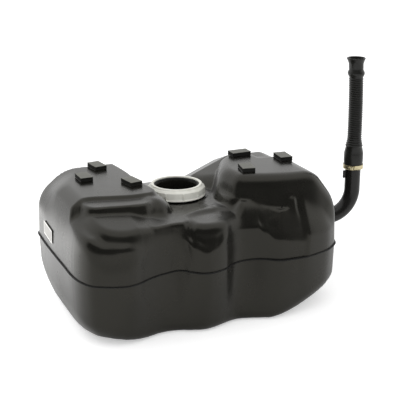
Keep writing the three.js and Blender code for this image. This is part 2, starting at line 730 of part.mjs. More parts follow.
// Foam pads, glued on flat lands along the top
const pad_length = 52;
const pad_width = 32;
const pad_thickness = 10;
const land_border = 3;
const land_rise = 0.8;
const pads = [
  { name: "foam_pad_left_back", at_shares: [0.242, 0.903], turn_deg: 8, on: left_plateau },
  { name: "foam_pad_left_outer", at_shares: [0.157, 0.725], turn_deg: 1, on: left_plateau },
  { name: "foam_pad_left_inner", at_shares: [0.295, 0.553], turn_deg: 11, on: left_plateau },
  { name: "foam_pad_right_back", at_shares: [0.729, 0.621], turn_deg: 92, on: right_plateau },
  { name: "foam_pad_right_front", at_shares: [0.671, 0.345], turn_deg: -11, on: right_plateau },
  { name: "foam_pad_right_outer", at_shares: [0.854, 0.464], turn_deg: -4, on: right_plateau },
];

function padBlock({ at_shares, turn_deg }, border, low, high) {
  const half = [pad_width / 2 + border, pad_length / 2 + border];
  const blank = block([-half[0], -half[1], low], [half[0], half[1], high]).rotate([0, 0, turn_deg]);
  return blank.translate([at_shares[0] * tank_length, at_shares[1] * tank_width, 0]);
}

// Filler: boss and bore in the right end, below the slope
const boss_radius = 23;
const boss_inset = 5; // the boss's face, in from the flange's right end
const boss_face = tank_length - boss_inset;
const boss_depth = 14;
const filler_bore = 14.2;
const end_sides = 24;
const atFiller = (manifold) => alongX(manifold).translate([0, filler_y, filler_z]);
const filler_boss = atFiller(disc(boss_radius, boss_face - boss_depth, boss_face, end_sides));
const filler_cut = atFiller(disc(filler_bore, boss_face - 4 * boss_depth, boss_face + overrun, end_sides));

// Vent valve: a boss under the right plateau
const vent_x = tank_length * 0.78;
const vent_y = tank_width * 0.47;
const vent_radius = 19;
const vent_boss_radius = 24;
const vent_boss_drop = 4; // how far the boss hangs below the roof
const vent_seat = right_plateau - roof_depth - vent_boss_drop;
const atVent = (manifold) => manifold.translate([vent_x, vent_y, 0]);
const vent_boss = atVent(disc(vent_boss_radius, vent_seat, right_plateau - wall / 2, end_sides));

// Label land on the left wall
const label_length = 74;
const label_height = 34;
const label_thickness = 0.8;
const label_y = tank_width * 0.677;
const label_z = 41;
const label_tilt_deg = 4;
const label_face = flange_lip - seat_gap;

function labelBlock(border, low, high) {
  const half = [label_length / 2 + border, label_height / 2 + border];
  const blank = block([low, -half[0], -half[1]], [high, half[0], half[1]]);
  return blank.rotate([label_tilt_deg, 0, 0]).translate([0, label_y, label_z]);
}

// Upper half: skin, flange and neck joined, then hollowed and cut open
let upper_shell = skinSolid(upperField, outer_columns, outer_rows);
upper_shell = upper_shell.add(prism(flange_rim, 0, flange_thickness));
for (const pad of pads) {
  upper_shell = upper_shell.add(padBlock(pad, land_border, pad.on - 2 * wall, pad.on + land_rise));
}
upper_shell = upper_shell.add(labelBlock(land_border, label_face, label_face + wall));
upper_shell = upper_shell.add(filler_boss).subtract(atMouth(ring_well));
upper_shell = upper_shell.add(atMouth(neck_blank)).add(atMouth(neck_ridge));
upper_shell = upper_shell.subtract(upper_hollow).add(vent_boss);
upper_shell = upper_shell.subtract(atMouth(mouth_cut)).subtract(filler_cut);
piece("upper_shell", upper_shell, tank_plastic);

// Lower half: the same outline downward, ending in a flat underside
const lower_flange = prism(flange_rim, -flange_thickness, 0);
piece("lower_shell", lower_skin.add(lower_flange).subtract(lower_hollow), tank_plastic);

// Seal on the neck, and the slip ring that keeps it from twisting as the lock ring turns
const seal_thickness = 2;
const seal_outer = 57;
const slip_thickness = 2;
const slip_bore = 53;
const seal_low = neck_top + seat_gap;
const seal_high = seal_low + seal_thickness;
piece("neck_seal", atMouth(tube(neck_bore, seal_outer, seal_low, seal_high, neck_sides)), seal_rubber);
const slip_low = seal_high + seat_gap;
const slip_high = slip_low + slip_thickness;
piece("slip_ring", atMouth(tube(slip_bore, neck_outer, slip_low, slip_high, neck_sides)), seal_rubber);

// Lock ring: white, ribbed for the wrench, threaded inside
const ring_hole = 56.5;
const ring_root = neck_outer + thread_height + thread_clearance;
const ring_skirt = 70.5;
const lip_thickness = 4;
const lip_edge = 63.5;
const lip_low = slip_high + seat_gap;
const ring_top = lip_low + lip_thickness;
const ring_clearance = 3; // between the ring and the saddle
const ring_bottom = saddle_height + ring_clearance;
const rim_height = 3;
const shoulder_drop = 9;
const edge_break = 1;
const ring_profile = [
  [ring_hole, lip_low], [ring_root, lip_low], [ring_root, ring_bottom], [ring_rim, ring_bottom],
  [ring_rim, ring_bottom + rim_height], [ring_skirt, ring_bottom + rim_height + edge_break],
  [ring_skirt, ring_top - shoulder_drop], [lip_edge + 2 * edge_break, ring_top - lip_thickness],
  [lip_edge, ring_top - edge_break], [lip_edge - edge_break, ring_top],
  [ring_hole + edge_break, ring_top], [ring_hole, ring_top - edge_break],
];
const grip_ribs = 10;
const grip_width = 3;
const grip_height = 0.9;
const grip_start_share = 0.3; // of the step between two ribs
let lock_ring = turned(ring_profile, neck_sides);
for (let k = 0; k < grip_ribs; k += 1) {
  const low = [ring_skirt - 2 * grip_height, -grip_width / 2, ring_bottom + rim_height];
  const rib = block(low, [ring_skirt + grip_height, grip_width / 2, ring_top - shoulder_drop]);
  lock_ring = lock_ring.add(rib.rotate([0, 0, (360 * (k + grip_start_share)) / grip_ribs]));
}
lock_ring = lock_ring.add(helicalRidge(
  ring_root + wall / 2, neck_outer + thread_clearance, thread_width, thread_pitch,
  thread_start + thread_pitch / 2, thread_turns, thread_steps,
));
piece("lock_ring", atMouth(lock_ring), ring_plastic);

for (const pad of pads) {
  const low = pad.on + land_rise + seat_gap;
  piece(pad.name, padBlock(pad, 0, low, low + pad_thickness), pad_foam);
}
const label_back = label_face - seat_gap;
piece("label", labelBlock(0, label_back - label_thickness, label_back), label_paper);

// Filler nipple welded to the boss
const nipple_outer = 16.7;
const nipple_bore = 13.8;
const nipple_flange = 21;
const nipple_flange_thickness = 4;
const nipple_reach = 24;
const nipple_root = boss_face + seat_gap;
const nipple_neck = nipple_root + nipple_flange_thickness;
const nipple_tip = nipple_neck + nipple_reach;
piece("filler_nipple", atFiller(turned([
  [nipple_bore, nipple_root], [nipple_flange, nipple_root], [nipple_flange, nipple_neck],
  [nipple_outer, nipple_neck], [nipple_outer, nipple_tip], [nipple_bore, nipple_tip],
], end_sides)), tank_plastic);

// Elbow pipe: slides over the nipple, turns upward and carries the hose
const pipe_sides = 16;
const pipe_steps = 16;
const pipe_bore = (nipple_outer + seat_gap) / Math.cos(Math.PI / pipe_sides);
const pipe_outer = 20;
const bend_radius = 67;
const foot_length = 22;
const pipe_foot = nipple_neck + seat_gap;
const bend_start = pipe_foot + foot_length;
const riser_x = bend_start + bend_radius;
const riser_top = 197;
const fin_reach = 11;
const fin_thickness = 3;
const fin_low = 126;
const fin_high = 149;

class ElbowPath extends THREE.Curve {
  getPoint(t, target = new THREE.Vector3()) {
    const first = bend_start - pipe_foot;
    const second = (Math.PI / 2) * bend_radius;
    const third = riser_top - filler_z - bend_radius;
    const s = t * (first + second + third);
    if (s < first) return target.set(pipe_foot + s, filler_y, filler_z);
    if (s > first + second) {
      return target.set(riser_x, filler_y, filler_z + bend_radius + s - first - second);
    }
    const angle = (s - first) / bend_radius;
    const x = bend_start + bend_radius * Math.sin(angle);
    return target.set(x, filler_y, filler_z + bend_radius * (1 - Math.cos(angle)));
  }
}

const pipe_section = new THREE.Shape(circlePoints(pipe_outer, pipe_sides));
pipe_section.holes.push(new THREE.Path(circlePoints(pipe_bore, pipe_sides)));
const pipe_route = { extrudePath: new ElbowPath(), steps: pipe_steps };
const pipe_blank = solid(new THREE.ExtrudeGeometry(pipe_section, pipe_route));
const fin_half = [fin_reach / 2 + wall / 4, fin_thickness / 2];
const fin = block([-fin_half[0], -fin_half[1], fin_low], [fin_half[0], fin_half[1], fin_high])
  .translate([riser_x - pipe_outer - fin_reach / 2, filler_y, 0]);
piece("elbow_pipe", pipe_blank.add(fin), pipe_rubber);

// Ribbed filler hose, standing on the riser with a slight lean
const cuff_bore = 22.1;
const cuff_outer = 24.6;
const cuff_clearance = 2; // above the fin
const cuff_shoulder = 3; // how far the cuff runs past the riser's end
const cuff_low = fin_high + cuff_clearance;
const cuff_high = riser_top + cuff_shoulder;
const rib_count = 31;
const rib_low = 210;
const rib_pitch = 5.75;
const rib_crest = 18.6;
const rib_root = 16.6;
const rib_crest_share = 0.25; // where a rib's crest and root lie in its pitch
const rib_root_share = 0.75;
const bore_every = 5; // ribs to each ring of the bore
const hose_bore = 14.4;
const collar_spacing = 5;
const collar_length = 14;
const collar_radius = 21.6;
const collar_low = rib_low + rib_count * rib_pitch + collar_spacing;
const collar_high = collar_low + collar_length;
const hose_neck = 17.6;
const hose_neck_length = 20;
const rim_radius = 23.6;
const rim_length = 12;
const rim_low = collar_high + hose_neck_length;
const hose_top = rim_low + rim_length;
const mouth_bore = 18.2;
const hose_lean = 6;
const hose_sides = 8;
const straight_run = 2 * rib_crest;

const hose_profile = [[cuff_bore, cuff_low], [cuff_outer, cuff_low], [cuff_outer, cuff_high]];
hose_profile.push([rib_root, rib_low - rib_pitch / 2]);
for (let k = 0; k < rib_count; k += 1) {
  hose_profile.push([rib_crest, rib_low + (k + rib_crest_share) * rib_pitch]);
  hose_profile.push([rib_root, rib_low + (k + rib_root_share) * rib_pitch]);
}
hose_profile.push(
  [hose_neck, collar_low - seat_gap], [collar_radius, collar_low], [collar_radius, collar_high],
  [hose_neck, collar_high + seat_gap], [hose_neck, rim_low - hose_neck / 4], [rim_radius, rim_low],
  [rim_radius, hose_top], [mouth_bore, hose_top], [hose_bore, rim_low],
);
for (let k = rib_count - 1; k > 0; k -= bore_every) {
  hose_profile.push([hose_bore, rib_low + k * rib_pitch]);
}
hose_profile.push([hose_bore, riser_top + seat_gap], [cuff_bore, riser_top + seat_gap]);

function leaned(geometry) {
  const place = geometry.attributes.position;
  for (let i = 0; i < place.count; i += 1) {
    const rise = Math.max(0, place.getZ(i) - rib_low - straight_run) / (hose_top - rib_low - straight_run);
    place.setX(i, place.getX(i) - hose_lean * Math.min(1, rise) ** 2);
  }
  return geometry;
}

const hose_points = [...hose_profile, hose_profile[0]].map(([r, z]) => new THREE.Vector2(r, z));
const hose_blank = leaned(new THREE.LatheGeometry(hose_points, hose_sides).rotateX(Math.PI / 2));
const atRiser = (manifold) => manifold.translate([riser_x, filler_y, 0]);
piece("filler_hose", atRiser(solid(hose_blank)), hose_rubber);

// Worm-drive clamps: band, housing and screw, once on the hose cuff and once on the elbow's foot
const band_thickness = 0.8;
const band_width = 11;
const housing_length = 11;
const housing_height = 6;
const screw_radius = 2.2;
const screw_head = 3.6;
const screw_head_length = 4;
const screw_tail = 3;
const screw_clearance = 0.1;
const screw_sides = 12;
const band_sides = 32;

function clamp(prefix, grip_radius, place) {
  const inner = grip_radius + seat_gap;
  const outer = inner + band_thickness;
  const middle = outer + seat_gap + housing_height / 2;
  const half = band_width / 2;
  const side = housing_length / 2;
  const screwAxis = (manifold) => alongY(manifold).translate([middle, 0, 0]);
  const bore = screwAxis(disc(screw_radius + screw_clearance, -2 * side, 2 * side, screw_sides));
  const base = outer + seat_gap;
  const blank = block([base, -side, -half], [base + housing_height, side, half]);
  const housing = blank.subtract(bore);
  const head_low = side + seat_gap;
  const shank = disc(screw_radius, -side - screw_tail, head_low + screw_clearance, screw_sides);
  const head = disc(screw_head, head_low, head_low + screw_head_length, screw_sides / 2);
  piece(`${prefix}_clamp_band`, place(tube(inner, outer, -half, half, band_sides)), zinc_steel);
  piece(`${prefix}_clamp_housing`, place(housing), zinc_steel);
  piece(`${prefix}_clamp_screw`, place(screwAxis(shank.add(head))), zinc_steel);
}

const band_inset = 1;
const hose_clamp_turn_deg = -129;
const hose_clamp_at = [riser_x, filler_y, cuff_low + band_inset + band_width / 2];
const elbow_clamp_at = [pipe_foot + 2 * band_inset + band_width / 2, filler_y, filler_z];
clamp("hose", cuff_outer, (loose) => loose.rotate([0, 0, hose_clamp_turn_deg]).translate(hose_clamp_at));
clamp("elbow", pipe_outer, (loose) => loose.rotate([0, -90, 0]).translate(elbow_clamp_at));

// Inlet check valve: a sleeve through the nipple with a sprung flap at its inner end
const sleeve_clearance = 0.5;
const sleeve_outer = nipple_bore - sleeve_clearance;
const sleeve_inner = 11.4;
const sleeve_inward = 56; // how far it runs to each side of the boss's face
const sleeve_outward = 20;
const sleeve_low = boss_face - sleeve_inward;
const sleeve_high = boss_face + sleeve_outward;
const flap_thickness = 2;
const flap_radius = 12.6;
const hinge_radius = 1.5;
const hinge_clearance = 4; // between the flap's edge and the pin's axis
const hinge_lift = flap_radius + hinge_clearance;
const hinge_x = sleeve_low - flap_thickness / 2 - seat_gap;
const ear_inner = 4;
const ear_outer = 6.5;
const ear_reach = 3;
const lug_half = 3; // half the flap's lug along the pin
const lug_radius = 2.8;
const lug_bore = hinge_radius + seat_gap;
const pin_long = 15;
const pin_short = 8;
const hinge_z = filler_z + hinge_lift;
const atHinge = (manifold) => alongY(manifold).translate([hinge_x, filler_y, hinge_z]);
let sleeve = atFiller(tube(sleeve_inner, sleeve_outer, sleeve_low, sleeve_high, end_sides));
for (const hand of [-1, 1]) {
  const ear_y = filler_y + Math.min(hand * ear_inner, hand * ear_outer);
  const ear = block(
    [hinge_x - ear_reach, ear_y, filler_z + sleeve_inner - seat_gap],
    [hinge_x + 4 * ear_reach, ear_y + ear_outer - ear_inner, hinge_z + ear_reach],
  );
  const relief = block(
    [hinge_x - 2 * ear_reach, ear_y - ear_reach, 0],
    [sleeve_low - screw_clearance, ear_y + ear_outer, filler_z + flap_radius + seat_gap],
  );
  sleeve = sleeve.add(ear.subtract(relief));
}
sleeve = sleeve.subtract(atHinge(disc(hinge_radius + screw_clearance, -pin_long, pin_long, screw_sides)));
const sleeve_way = disc(sleeve_inner, sleeve_low - overrun, sleeve_high + overrun, end_sides);
sleeve = sleeve.subtract(atFiller(sleeve_way));
piece("inlet_valve_sleeve", sleeve, valve_plastic);
const flap_low = sleeve_low - seat_gap - flap_thickness;
let flap = atFiller(disc(flap_radius, flap_low, flap_low + flap_thickness, end_sides));
flap = flap.add(block(
  [flap_low, filler_y - lug_half, filler_z], [flap_low + flap_thickness, filler_y + lug_half, hinge_z],
));
flap = flap.add(atHinge(disc(lug_radius, -lug_half, lug_half, screw_sides)));
flap = flap.subtract(atHinge(disc(lug_bore, -ear_inner, ear_inner, screw_sides)));
piece("inlet_flap", flap, valve_plastic);
piece("flap_pin", atHinge(disc(hinge_radius, -pin_long, pin_short, screw_sides)), spring_steel);
const spring_wire = 0.9;
const spring_turns = 4;
const spring_pitch = 1.4;
const spring_seat = ear_outer + seat_gap + spring_wire / 2 + spring_turns * spring_pitch;
const spring_radius = hinge_radius + spring_wire / 2 + seat_gap;
const flap_spring = coil(spring_radius, spring_wire, spring_pitch, spring_turns);
piece("flap_spring", atHinge(flap_spring.translate([0, 0, -spring_seat])), spring_steel);

// Vent valve: a cup under the plateau with a float that rises and shuts the orifice
const vent_inner = 16;
const vent_length = 60;
const vent_roof = 3;
const vent_orifice = 4;
const vent_high = vent_seat - seat_gap;
const vent_low = vent_high - vent_length;
const float_clearance = 0.6;
const float_radius = vent_inner - float_clearance;
const float_travel = 6;
const float_length = 34;
const nib_radius = 5.2;
const nib_length = 6;
const nib_root = 1; // how deep the nib is set into the float
const float_high = vent_high - vent_roof - float_travel - seat_gap - nib_length;
const float_low = float_high - float_length;
piece("vent_valve_cup", atVent(turned([
  [vent_orifice, vent_high - vent_roof], [vent_inner, vent_high - vent_roof], [vent_inner, vent_low],
  [vent_radius, vent_low], [vent_radius, vent_high], [vent_orifice, vent_high],
], end_sides)), valve_plastic);
const vent_float = disc(float_radius, float_low, float_high, end_sides)
  .add(disc(nib_radius, float_high - nib_root, float_high + nib_length, screw_sides));
piece("vent_float", atVent(vent_float), valve_plastic);
const cap_thickness = 3;
const cap_high = vent_low - seat_gap;
const drain_count = 4;
const drain_radius = 2.5;
let vent_cap = disc(vent_radius, cap_high - cap_thickness, cap_high, end_sides);
for (let k = 0; k < drain_count; k += 1) {
  const drain = disc(drain_radius, cap_high - cap_thickness - overrun, cap_high + overrun, screw_sides)
    .translate([vent_inner / 2, 0, 0]);
  vent_cap = vent_cap.subtract(drain.rotate([0, 0, (360 * k) / drain_count]));
}
piece("vent_cap", atVent(vent_cap), valve_plastic);
const float_spring_radius = 12;
const float_spring_wire = 1;
const float_spring_turns = 3;
const float_spring_room = float_low - cap_high - float_spring_wire - 2 * seat_gap;
const float_spring_pitch = float_spring_room / float_spring_turns;
const float_spring = coil(float_spring_radius, float_spring_wire, float_spring_pitch, float_spring_turns);
const float_spring_foot = cap_high + seat_gap + float_spring_wire / 2;
piece("vent_spring", atVent(float_spring.translate([0, 0, float_spring_foot])), spring_steel);

export default tank;
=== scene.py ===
import math

import bmesh
import bpy
import numpy as np
from mathutils import Matrix, Vector


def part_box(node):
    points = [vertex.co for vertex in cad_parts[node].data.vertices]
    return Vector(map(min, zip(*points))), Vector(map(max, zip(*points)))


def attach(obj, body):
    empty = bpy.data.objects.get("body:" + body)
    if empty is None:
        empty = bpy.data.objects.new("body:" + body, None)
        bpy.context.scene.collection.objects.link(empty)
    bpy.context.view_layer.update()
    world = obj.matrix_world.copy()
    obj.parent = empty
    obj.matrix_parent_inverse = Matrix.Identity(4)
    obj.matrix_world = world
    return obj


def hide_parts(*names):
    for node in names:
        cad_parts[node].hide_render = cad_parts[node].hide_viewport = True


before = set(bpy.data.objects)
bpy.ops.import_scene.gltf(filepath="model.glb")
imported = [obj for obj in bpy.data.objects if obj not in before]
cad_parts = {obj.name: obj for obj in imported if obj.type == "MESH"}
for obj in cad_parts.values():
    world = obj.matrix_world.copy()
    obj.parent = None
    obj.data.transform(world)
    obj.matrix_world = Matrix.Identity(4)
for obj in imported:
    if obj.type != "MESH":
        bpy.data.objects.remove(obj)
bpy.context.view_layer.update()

# Camera: the photograph's view, from the front left and a little above. A long lens about two and a
# half metres away, level from side to side.
camera_pitch = 72
camera_heading = -22.8
camera_data = bpy.data.cameras.new("camera")
camera_data.sensor_width = 36
camera_data.lens = 90
camera = bpy.data.objects.new("camera", camera_data)
camera.location = (-0.894, -2.191, 1.024)
camera.rotation_euler = (math.radians(camera_pitch), 0, math.radians(camera_heading))
bpy.context.scene.collection.objects.link(camera)
bpy.context.scene.camera = camera


# Upper half of the shell: high-density polyethylene, blown into a mould, so every form is rounded and
# has draft. The form is a field, negative inside, blended from tiers that each have a plan outline.
shell_low, shell_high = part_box("upper_shell")
tank_length = shell_high.x - shell_low.x
tank_width = shell_high.y - shell_low.y
flange_level = shell_low.z
left_plateau = 0.158
right_plateau = 0.190
saddle_height = 0.113
flange_lip = 0.008
mouth_x = tank_length * 0.466
mouth_y = tank_width * 0.566
plan_step = 0.0025
plan_margin = 0.03
edge_room = 1.001
grid_x = np.arange(-plan_margin, tank_length + plan_margin, plan_step)
grid_y = np.arange(-plan_margin, tank_width + plan_margin, plan_step)


def plan_curve(shares, per_point=4):
    """A smooth closed outline through points given as shares of the tank's length and width."""
    points = np.array(shares) * [tank_length, tank_width]
    count = len(points)
    curve = []
    for k in range(count):
        before, start, end, after = (points[(k + j) % count] for j in (-1, 0, 1, 2))
        first, middle, last = (
            np.linalg.norm(b - a) ** 0.5 for a, b in ((before, start), (start, end), (end, after))
        )
        leave = (start - before) / first - (end - before) / (first + middle) + (end - start) / middle
        arrive = (end - start) / middle - (after - start) / (middle + last) + (after - end) / last
        for t in np.arange(per_point) / per_point:
            curve.append(
                (2 * t**3 - 3 * t**2 + 1) * start + (t**3 - 2 * t**2 + t) * leave * middle
                + (3 * t**2 - 2 * t**3) * end + (t**3 - t**2) * arrive * middle
            )
    return np.array(curve)


class Plan:
    """Signed distance to a closed outline, negative inside, kept on a fine plan grid."""

    def __init__(self, outline):
        x, y = np.meshgrid(grid_x, grid_y, indexing="ij")
        nearest = np.full(x.shape, np.inf)
        inside = np.zeros(x.shape, bool)
        for a, b in zip(outline, np.roll(outline, -1, axis=0)):
            edge = b - a
            px, py = x - a[0], y - a[1]
            t = np.clip((px * edge[0] + py * edge[1]) / edge.dot(edge), 0, 1)
            nearest = np.minimum(nearest, (px - edge[0] * t) ** 2 + (py - edge[1] * t) ** 2)
            if edge[1] != 0:
                inside ^= ((a[1] > y) != (b[1] > y)) & (px < edge[0] * py / edge[1])
        self.distance = np.where(inside, -1, 1) * np.sqrt(nearest)

    def __call__(self, x, y):
        across = np.clip((x - grid_x[0]) / plan_step, 0, len(grid_x) - edge_room)
        along = np.clip((y - grid_y[0]) / plan_step, 0, len(grid_y) - edge_room)
        i, j = across.astype(int), along.astype(int)
        s, t = across - i, along - j
        d = self.distance
        low = d[i, j] * (1 - s) + d[i + 1, j] * s
        high = d[i, j + 1] * (1 - s) + d[i + 1, j + 1] * s
        return low * (1 - t) + high * t


def rounded_max(a, b, radius):
    corner = np.hypot(np.maximum(a + radius, 0), np.maximum(b + radius, 0))
    return np.minimum(np.maximum(a + radius, b + radius), 0) + corner - radius


def blended_min(a, b, fillet):
    near = np.maximum(fillet - np.abs(a - b), 0) / fillet
    return np.minimum(a, b) - near * near * fillet / 4


def smooth_table(shares, t):
    """A value that eases from one row of a table to the next."""
    table = np.array(shares)
    k = np.clip(np.searchsorted(table[:, 0], t), 1, len(table) - 1)
    s = np.clip((t - table[k - 1, 0]) / (table[k, 0] - table[k - 1, 0]), 0, 1)
    return table[k - 1, 1] + (table[k, 1] - table[k - 1, 1]) * s * s * (3 - 2 * s)


flange_shares = [
    (0.002, 0.83), (0, 0.6), (0.0015, 0.4), (0.004, 0.22), (0.017, 0.134), (0.039, 0.074), (0.066, 0.045),
    (0.109, 0.015), (0.156, 0), (0.193, 0.011), (0.234, 0.045), (0.277, 0.074), (0.316, 0.089),
    (0.353, 0.096), (0.379, 0.057), (0.403, 0.021), (0.434, 0.002), (0.471, 0.009), (0.516, 0.036),
    (0.55, 0.076), (0.58, 0.093), (0.612, 0.093), (0.644, 0.082), (0.671, 0.055), (0.699, 0.023),
    (0.734, 0.015), (0.771, 0.015), (0.811, 0.019), (0.859, 0.038), (0.91, 0.068), (0.943, 0.104),
    (0.973, 0.151), (0.99, 0.219), (0.998, 0.32), (1, 0.6), (0.998, 0.83), (0.988, 0.93), (0.957, 0.984),
    (0.9, 0.997), (0.6, 1), (0.3, 0.9995), (0.09, 0.996), (0.034, 0.982), (0.009, 0.94),
]
corner_shares = [(0.033, 0.09), (0.955, 0.12), (0.982, 0.95), (0.018, 0.966)]
lobe_left_shares = [
    (-0.05, 0.36), (0.05, 0.37), (0.1, 0.41), (0.17, 0.39), (0.244, 0.365), (0.299, 0.365), (0.33, 0.375),
    (0.345, 0.42), (0.342, 0.5), (0.33, 0.6), (0.326, 0.8), (0.315, 0.95), (0.3, 1.1), (0, 1.1),
    (-0.05, 0.9),
]
ridge_shares = [
    (0.02, 0.42), (0.021, 0.3), (0.026, 0.19), (0.041, 0.125), (0.062, 0.105), (0.085, 0.12), (0.1, 0.17),
    (0.11, 0.3), (0.1, 0.45), (0.03, 0.47),
]
shelf_shares = [
    (0.083, 0.34), (0.081, 0.24), (0.09, 0.165), (0.11, 0.115), (0.14, 0.088), (0.175, 0.078),
    (0.22, 0.09), (0.265, 0.102), (0.3, 0.118), (0.335, 0.14), (0.36, 0.18), (0.355, 0.26), (0.34, 0.5),
    (0.09, 0.5),
]
strip_shares = [
    (0.08, 0.5), (0.082, 0.34), (0.1, 0.294), (0.156, 0.277), (0.221, 0.261), (0.272, 0.255),
    (0.3, 0.29), (0.29, 0.5),
]
nose_shares = [
    (0.28, 0.5), (0.285, 0.37), (0.3, 0.3), (0.326, 0.272), (0.35, 0.29), (0.364, 0.35), (0.366, 0.43),
    (0.352, 0.52),
]
saddle_shares = [
    (0.26, 0.12), (0.33, 0.128), (0.374, 0.13), (0.396, 0.155), (0.412, 0.215), (0.45, 0.25),
    (0.527, 0.262), (0.593, 0.235), (0.66, 0.33), (0.66, 1.1), (0.26, 1.1),
]
terrace_shares = [
    (0.408, 0.24), (0.402, 0.15), (0.412, 0.1), (0.437, 0.074), (0.473, 0.066), (0.514, 0.08),
    (0.55, 0.115), (0.59, 0.148), (0.64, 0.152), (0.7, 0.13), (0.755, 0.112), (0.795, 0.1),
    (0.82, 0.14), (0.8, 0.3), (0.5, 0.32),
]
ledge_shares = [
    (0.575, 0.33), (0.59, 0.25), (0.648, 0.215), (0.7, 0.187), (0.749, 0.165), (0.783, 0.13),
    (0.8, 0.2), (0.8, 0.4), (0.6, 0.45),
]
lobe_right_shares = [
    (0.6, 0.42), (0.603, 0.33), (0.615, 0.265), (0.65, 0.235), (0.71, 0.2), (0.775, 0.175),
    (0.84, 0.165), (0.9, 0.18), (1.05, 0.28), (1.08, 0.5), (1.05, 0.68), (0.8, 0.69), (0.68, 0.66),
    (0.635, 0.56),
]
corner_right_shares = [
    (0.812, 0.26), (0.808, 0.1), (0.812, 0.02), (0.85, 0.005), (0.95, 0.02), (1.05, 0.1), (1.1, 0.5),
    (1.05, 1.05), (0.8, 1.05),
]
back_ramp_shares = [
    (0.565, 0.72), (0.6, 0.62), (0.68, 0.5), (0.9, 0.5), (1.06, 0.66), (1.06, 1.1), (0.56, 1.1),
]
front_edge_shares = [
    (0, 0.62), (0.043, 0.61), (0.086, 0.58), (0.157, 0.565), (0.214, 0.54), (0.25, 0.55), (0.279, 0.61),
    (0.341, 0.62), (0.374, 0.54), (0.4, 0.42), (0.433, 0.36), (0.471, 0.385), (0.503, 0.47), (0.53, 0.515),
    (0.561, 0.52), (0.646, 0.505), (0.667, 0.43), (0.697, 0.315), (0.759, 0.29), (0.8, 0.27), (0.86, 0.3),
    (1, 0.5),
]
edge_round_shares = [
    (0, 0.16), (0.1, 0.13), (0.15, 0.07), (0.28, 0.07), (0.42, 0.08), (0.5, 0.04), (0.7, 0.04),
    (0.8, 0.09), (1, 0.15),
]
shoulder_climb_shares = [
    (0, 0.3), (0.06, 0.1), (0.25, 0.05), (0.36, 0.2), (0.49, 0.2), (0.54, 0.4), (0.65, 0.7), (0.69, 1.75),
    (1, 1.75),
]

tight_round = 0.005
soft_round = 0.012
full_round = 0.018
wide_round = 0.024
fillet = 0.007
shelf_fillet = 0.012
soft_fillet = 0.018
wall_draft_share = 0.03
rim_lean_share = 0.3
side_lean_share = 0.35
lobe_lean_share = 0.25
terrace_lean_share = 0.22
ridge_lean_share = 0.45
ramp_lean_share = 0.5
corner_lean_share = 0.1
flange_outline = plan_curve(flange_shares)
flange_plan = Plan(flange_outline)


def past_wall(x, y, z):
    return flange_plan(x, y) + flange_lip + wall_draft_share * np.abs(z)


def past_edge(value, start, reach):
    """How far a value is past an edge, as a share that eases from 0 to 1 over the reach."""
    t = np.clip((value - start) / reach, 0, 1)
    return t * t * (3 - 2 * t)


# The tiers' tops: their heights above the parting line, and how they climb and fall
ridge_low = 0.100
ridge_climb_share = 0.21
shelf_low = 0.117
shelf_climb_share = 0.2
shelf_front = tank_width * 0.09
shelf_turn = tank_length * 0.214
strip_height = 0.150
strip_back = tank_width * 0.36
nose_height = 0.150
saddle_fall_share = 0.18
saddle_turn = tank_width * 0.745
terrace_height = 0.109
terrace_climb_share = 0.75
terrace_rise_run = 0.036
terrace_fall_share = 0.07
terrace_ease = 0.03
terrace_foot = tank_width * 0.125
terrace_turn = tank_length * 0.571
ledge_height = 0.138
lobe_turn = tank_length * 0.769
lobe_dip = tank_width * 0.51
lobe_dip_depth = 0.020
lobe_dip_ease = 0.03
lobe_dip_run = 0.05
corner_low = 0.058
corner_climb_share = 1.75
corner_fall_share = 0.25
ramp_height = 0.128
ramp_climb_share = 0.42
ramp_crest = 0.172
ramp_fall_share = 0.4
ramp_end_fall_share = 0.35
ramp_front = tank_width * 0.766
ramp_left = tank_length * 0.574
ramp_right = tank_length * 0.857


def ridge_top(x, y):
    return ridge_low + ridge_climb_share * (y - shelf_front)


def shelf_top(x, y):
    run = np.minimum(y, strip_back) - shelf_front - np.maximum(0, x - shelf_turn)
    return shelf_low + shelf_climb_share * run


def saddle_top(x, y):
    return saddle_height - saddle_fall_share * np.maximum(0, y - saddle_turn)


def corner_top(x, y):
    climb = corner_low + corner_climb_share * np.maximum(0, -(flange_plan(x, y) + flange_lip))
    cap = right_plateau - soft_round - corner_fall_share * np.maximum(0, y - lobe_dip)
    return np.minimum(climb, cap)


def ramp_top(x, y):
    crest = ramp_crest - ramp_end_fall_share * np.maximum(0, x - ramp_right)
    climb = ramp_height + ramp_climb_share * (x - ramp_left)
    return np.minimum(climb, crest) - ramp_fall_share * np.maximum(0, y - ramp_front)


def terrace_top(x, y):
    climb = np.clip(y - terrace_foot, 0, terrace_rise_run) * past_edge(x, terrace_turn, terrace_ease)
    fall = terrace_fall_share * np.maximum(0, x - terrace_turn)
    return terrace_height + terrace_climb_share * climb - fall


def lobe_right_top(x, y):
    dip = past_edge(x, lobe_turn, lobe_dip_ease) * past_edge(y, lobe_dip, lobe_dip_run)
    return right_plateau - lobe_dip_depth * dip


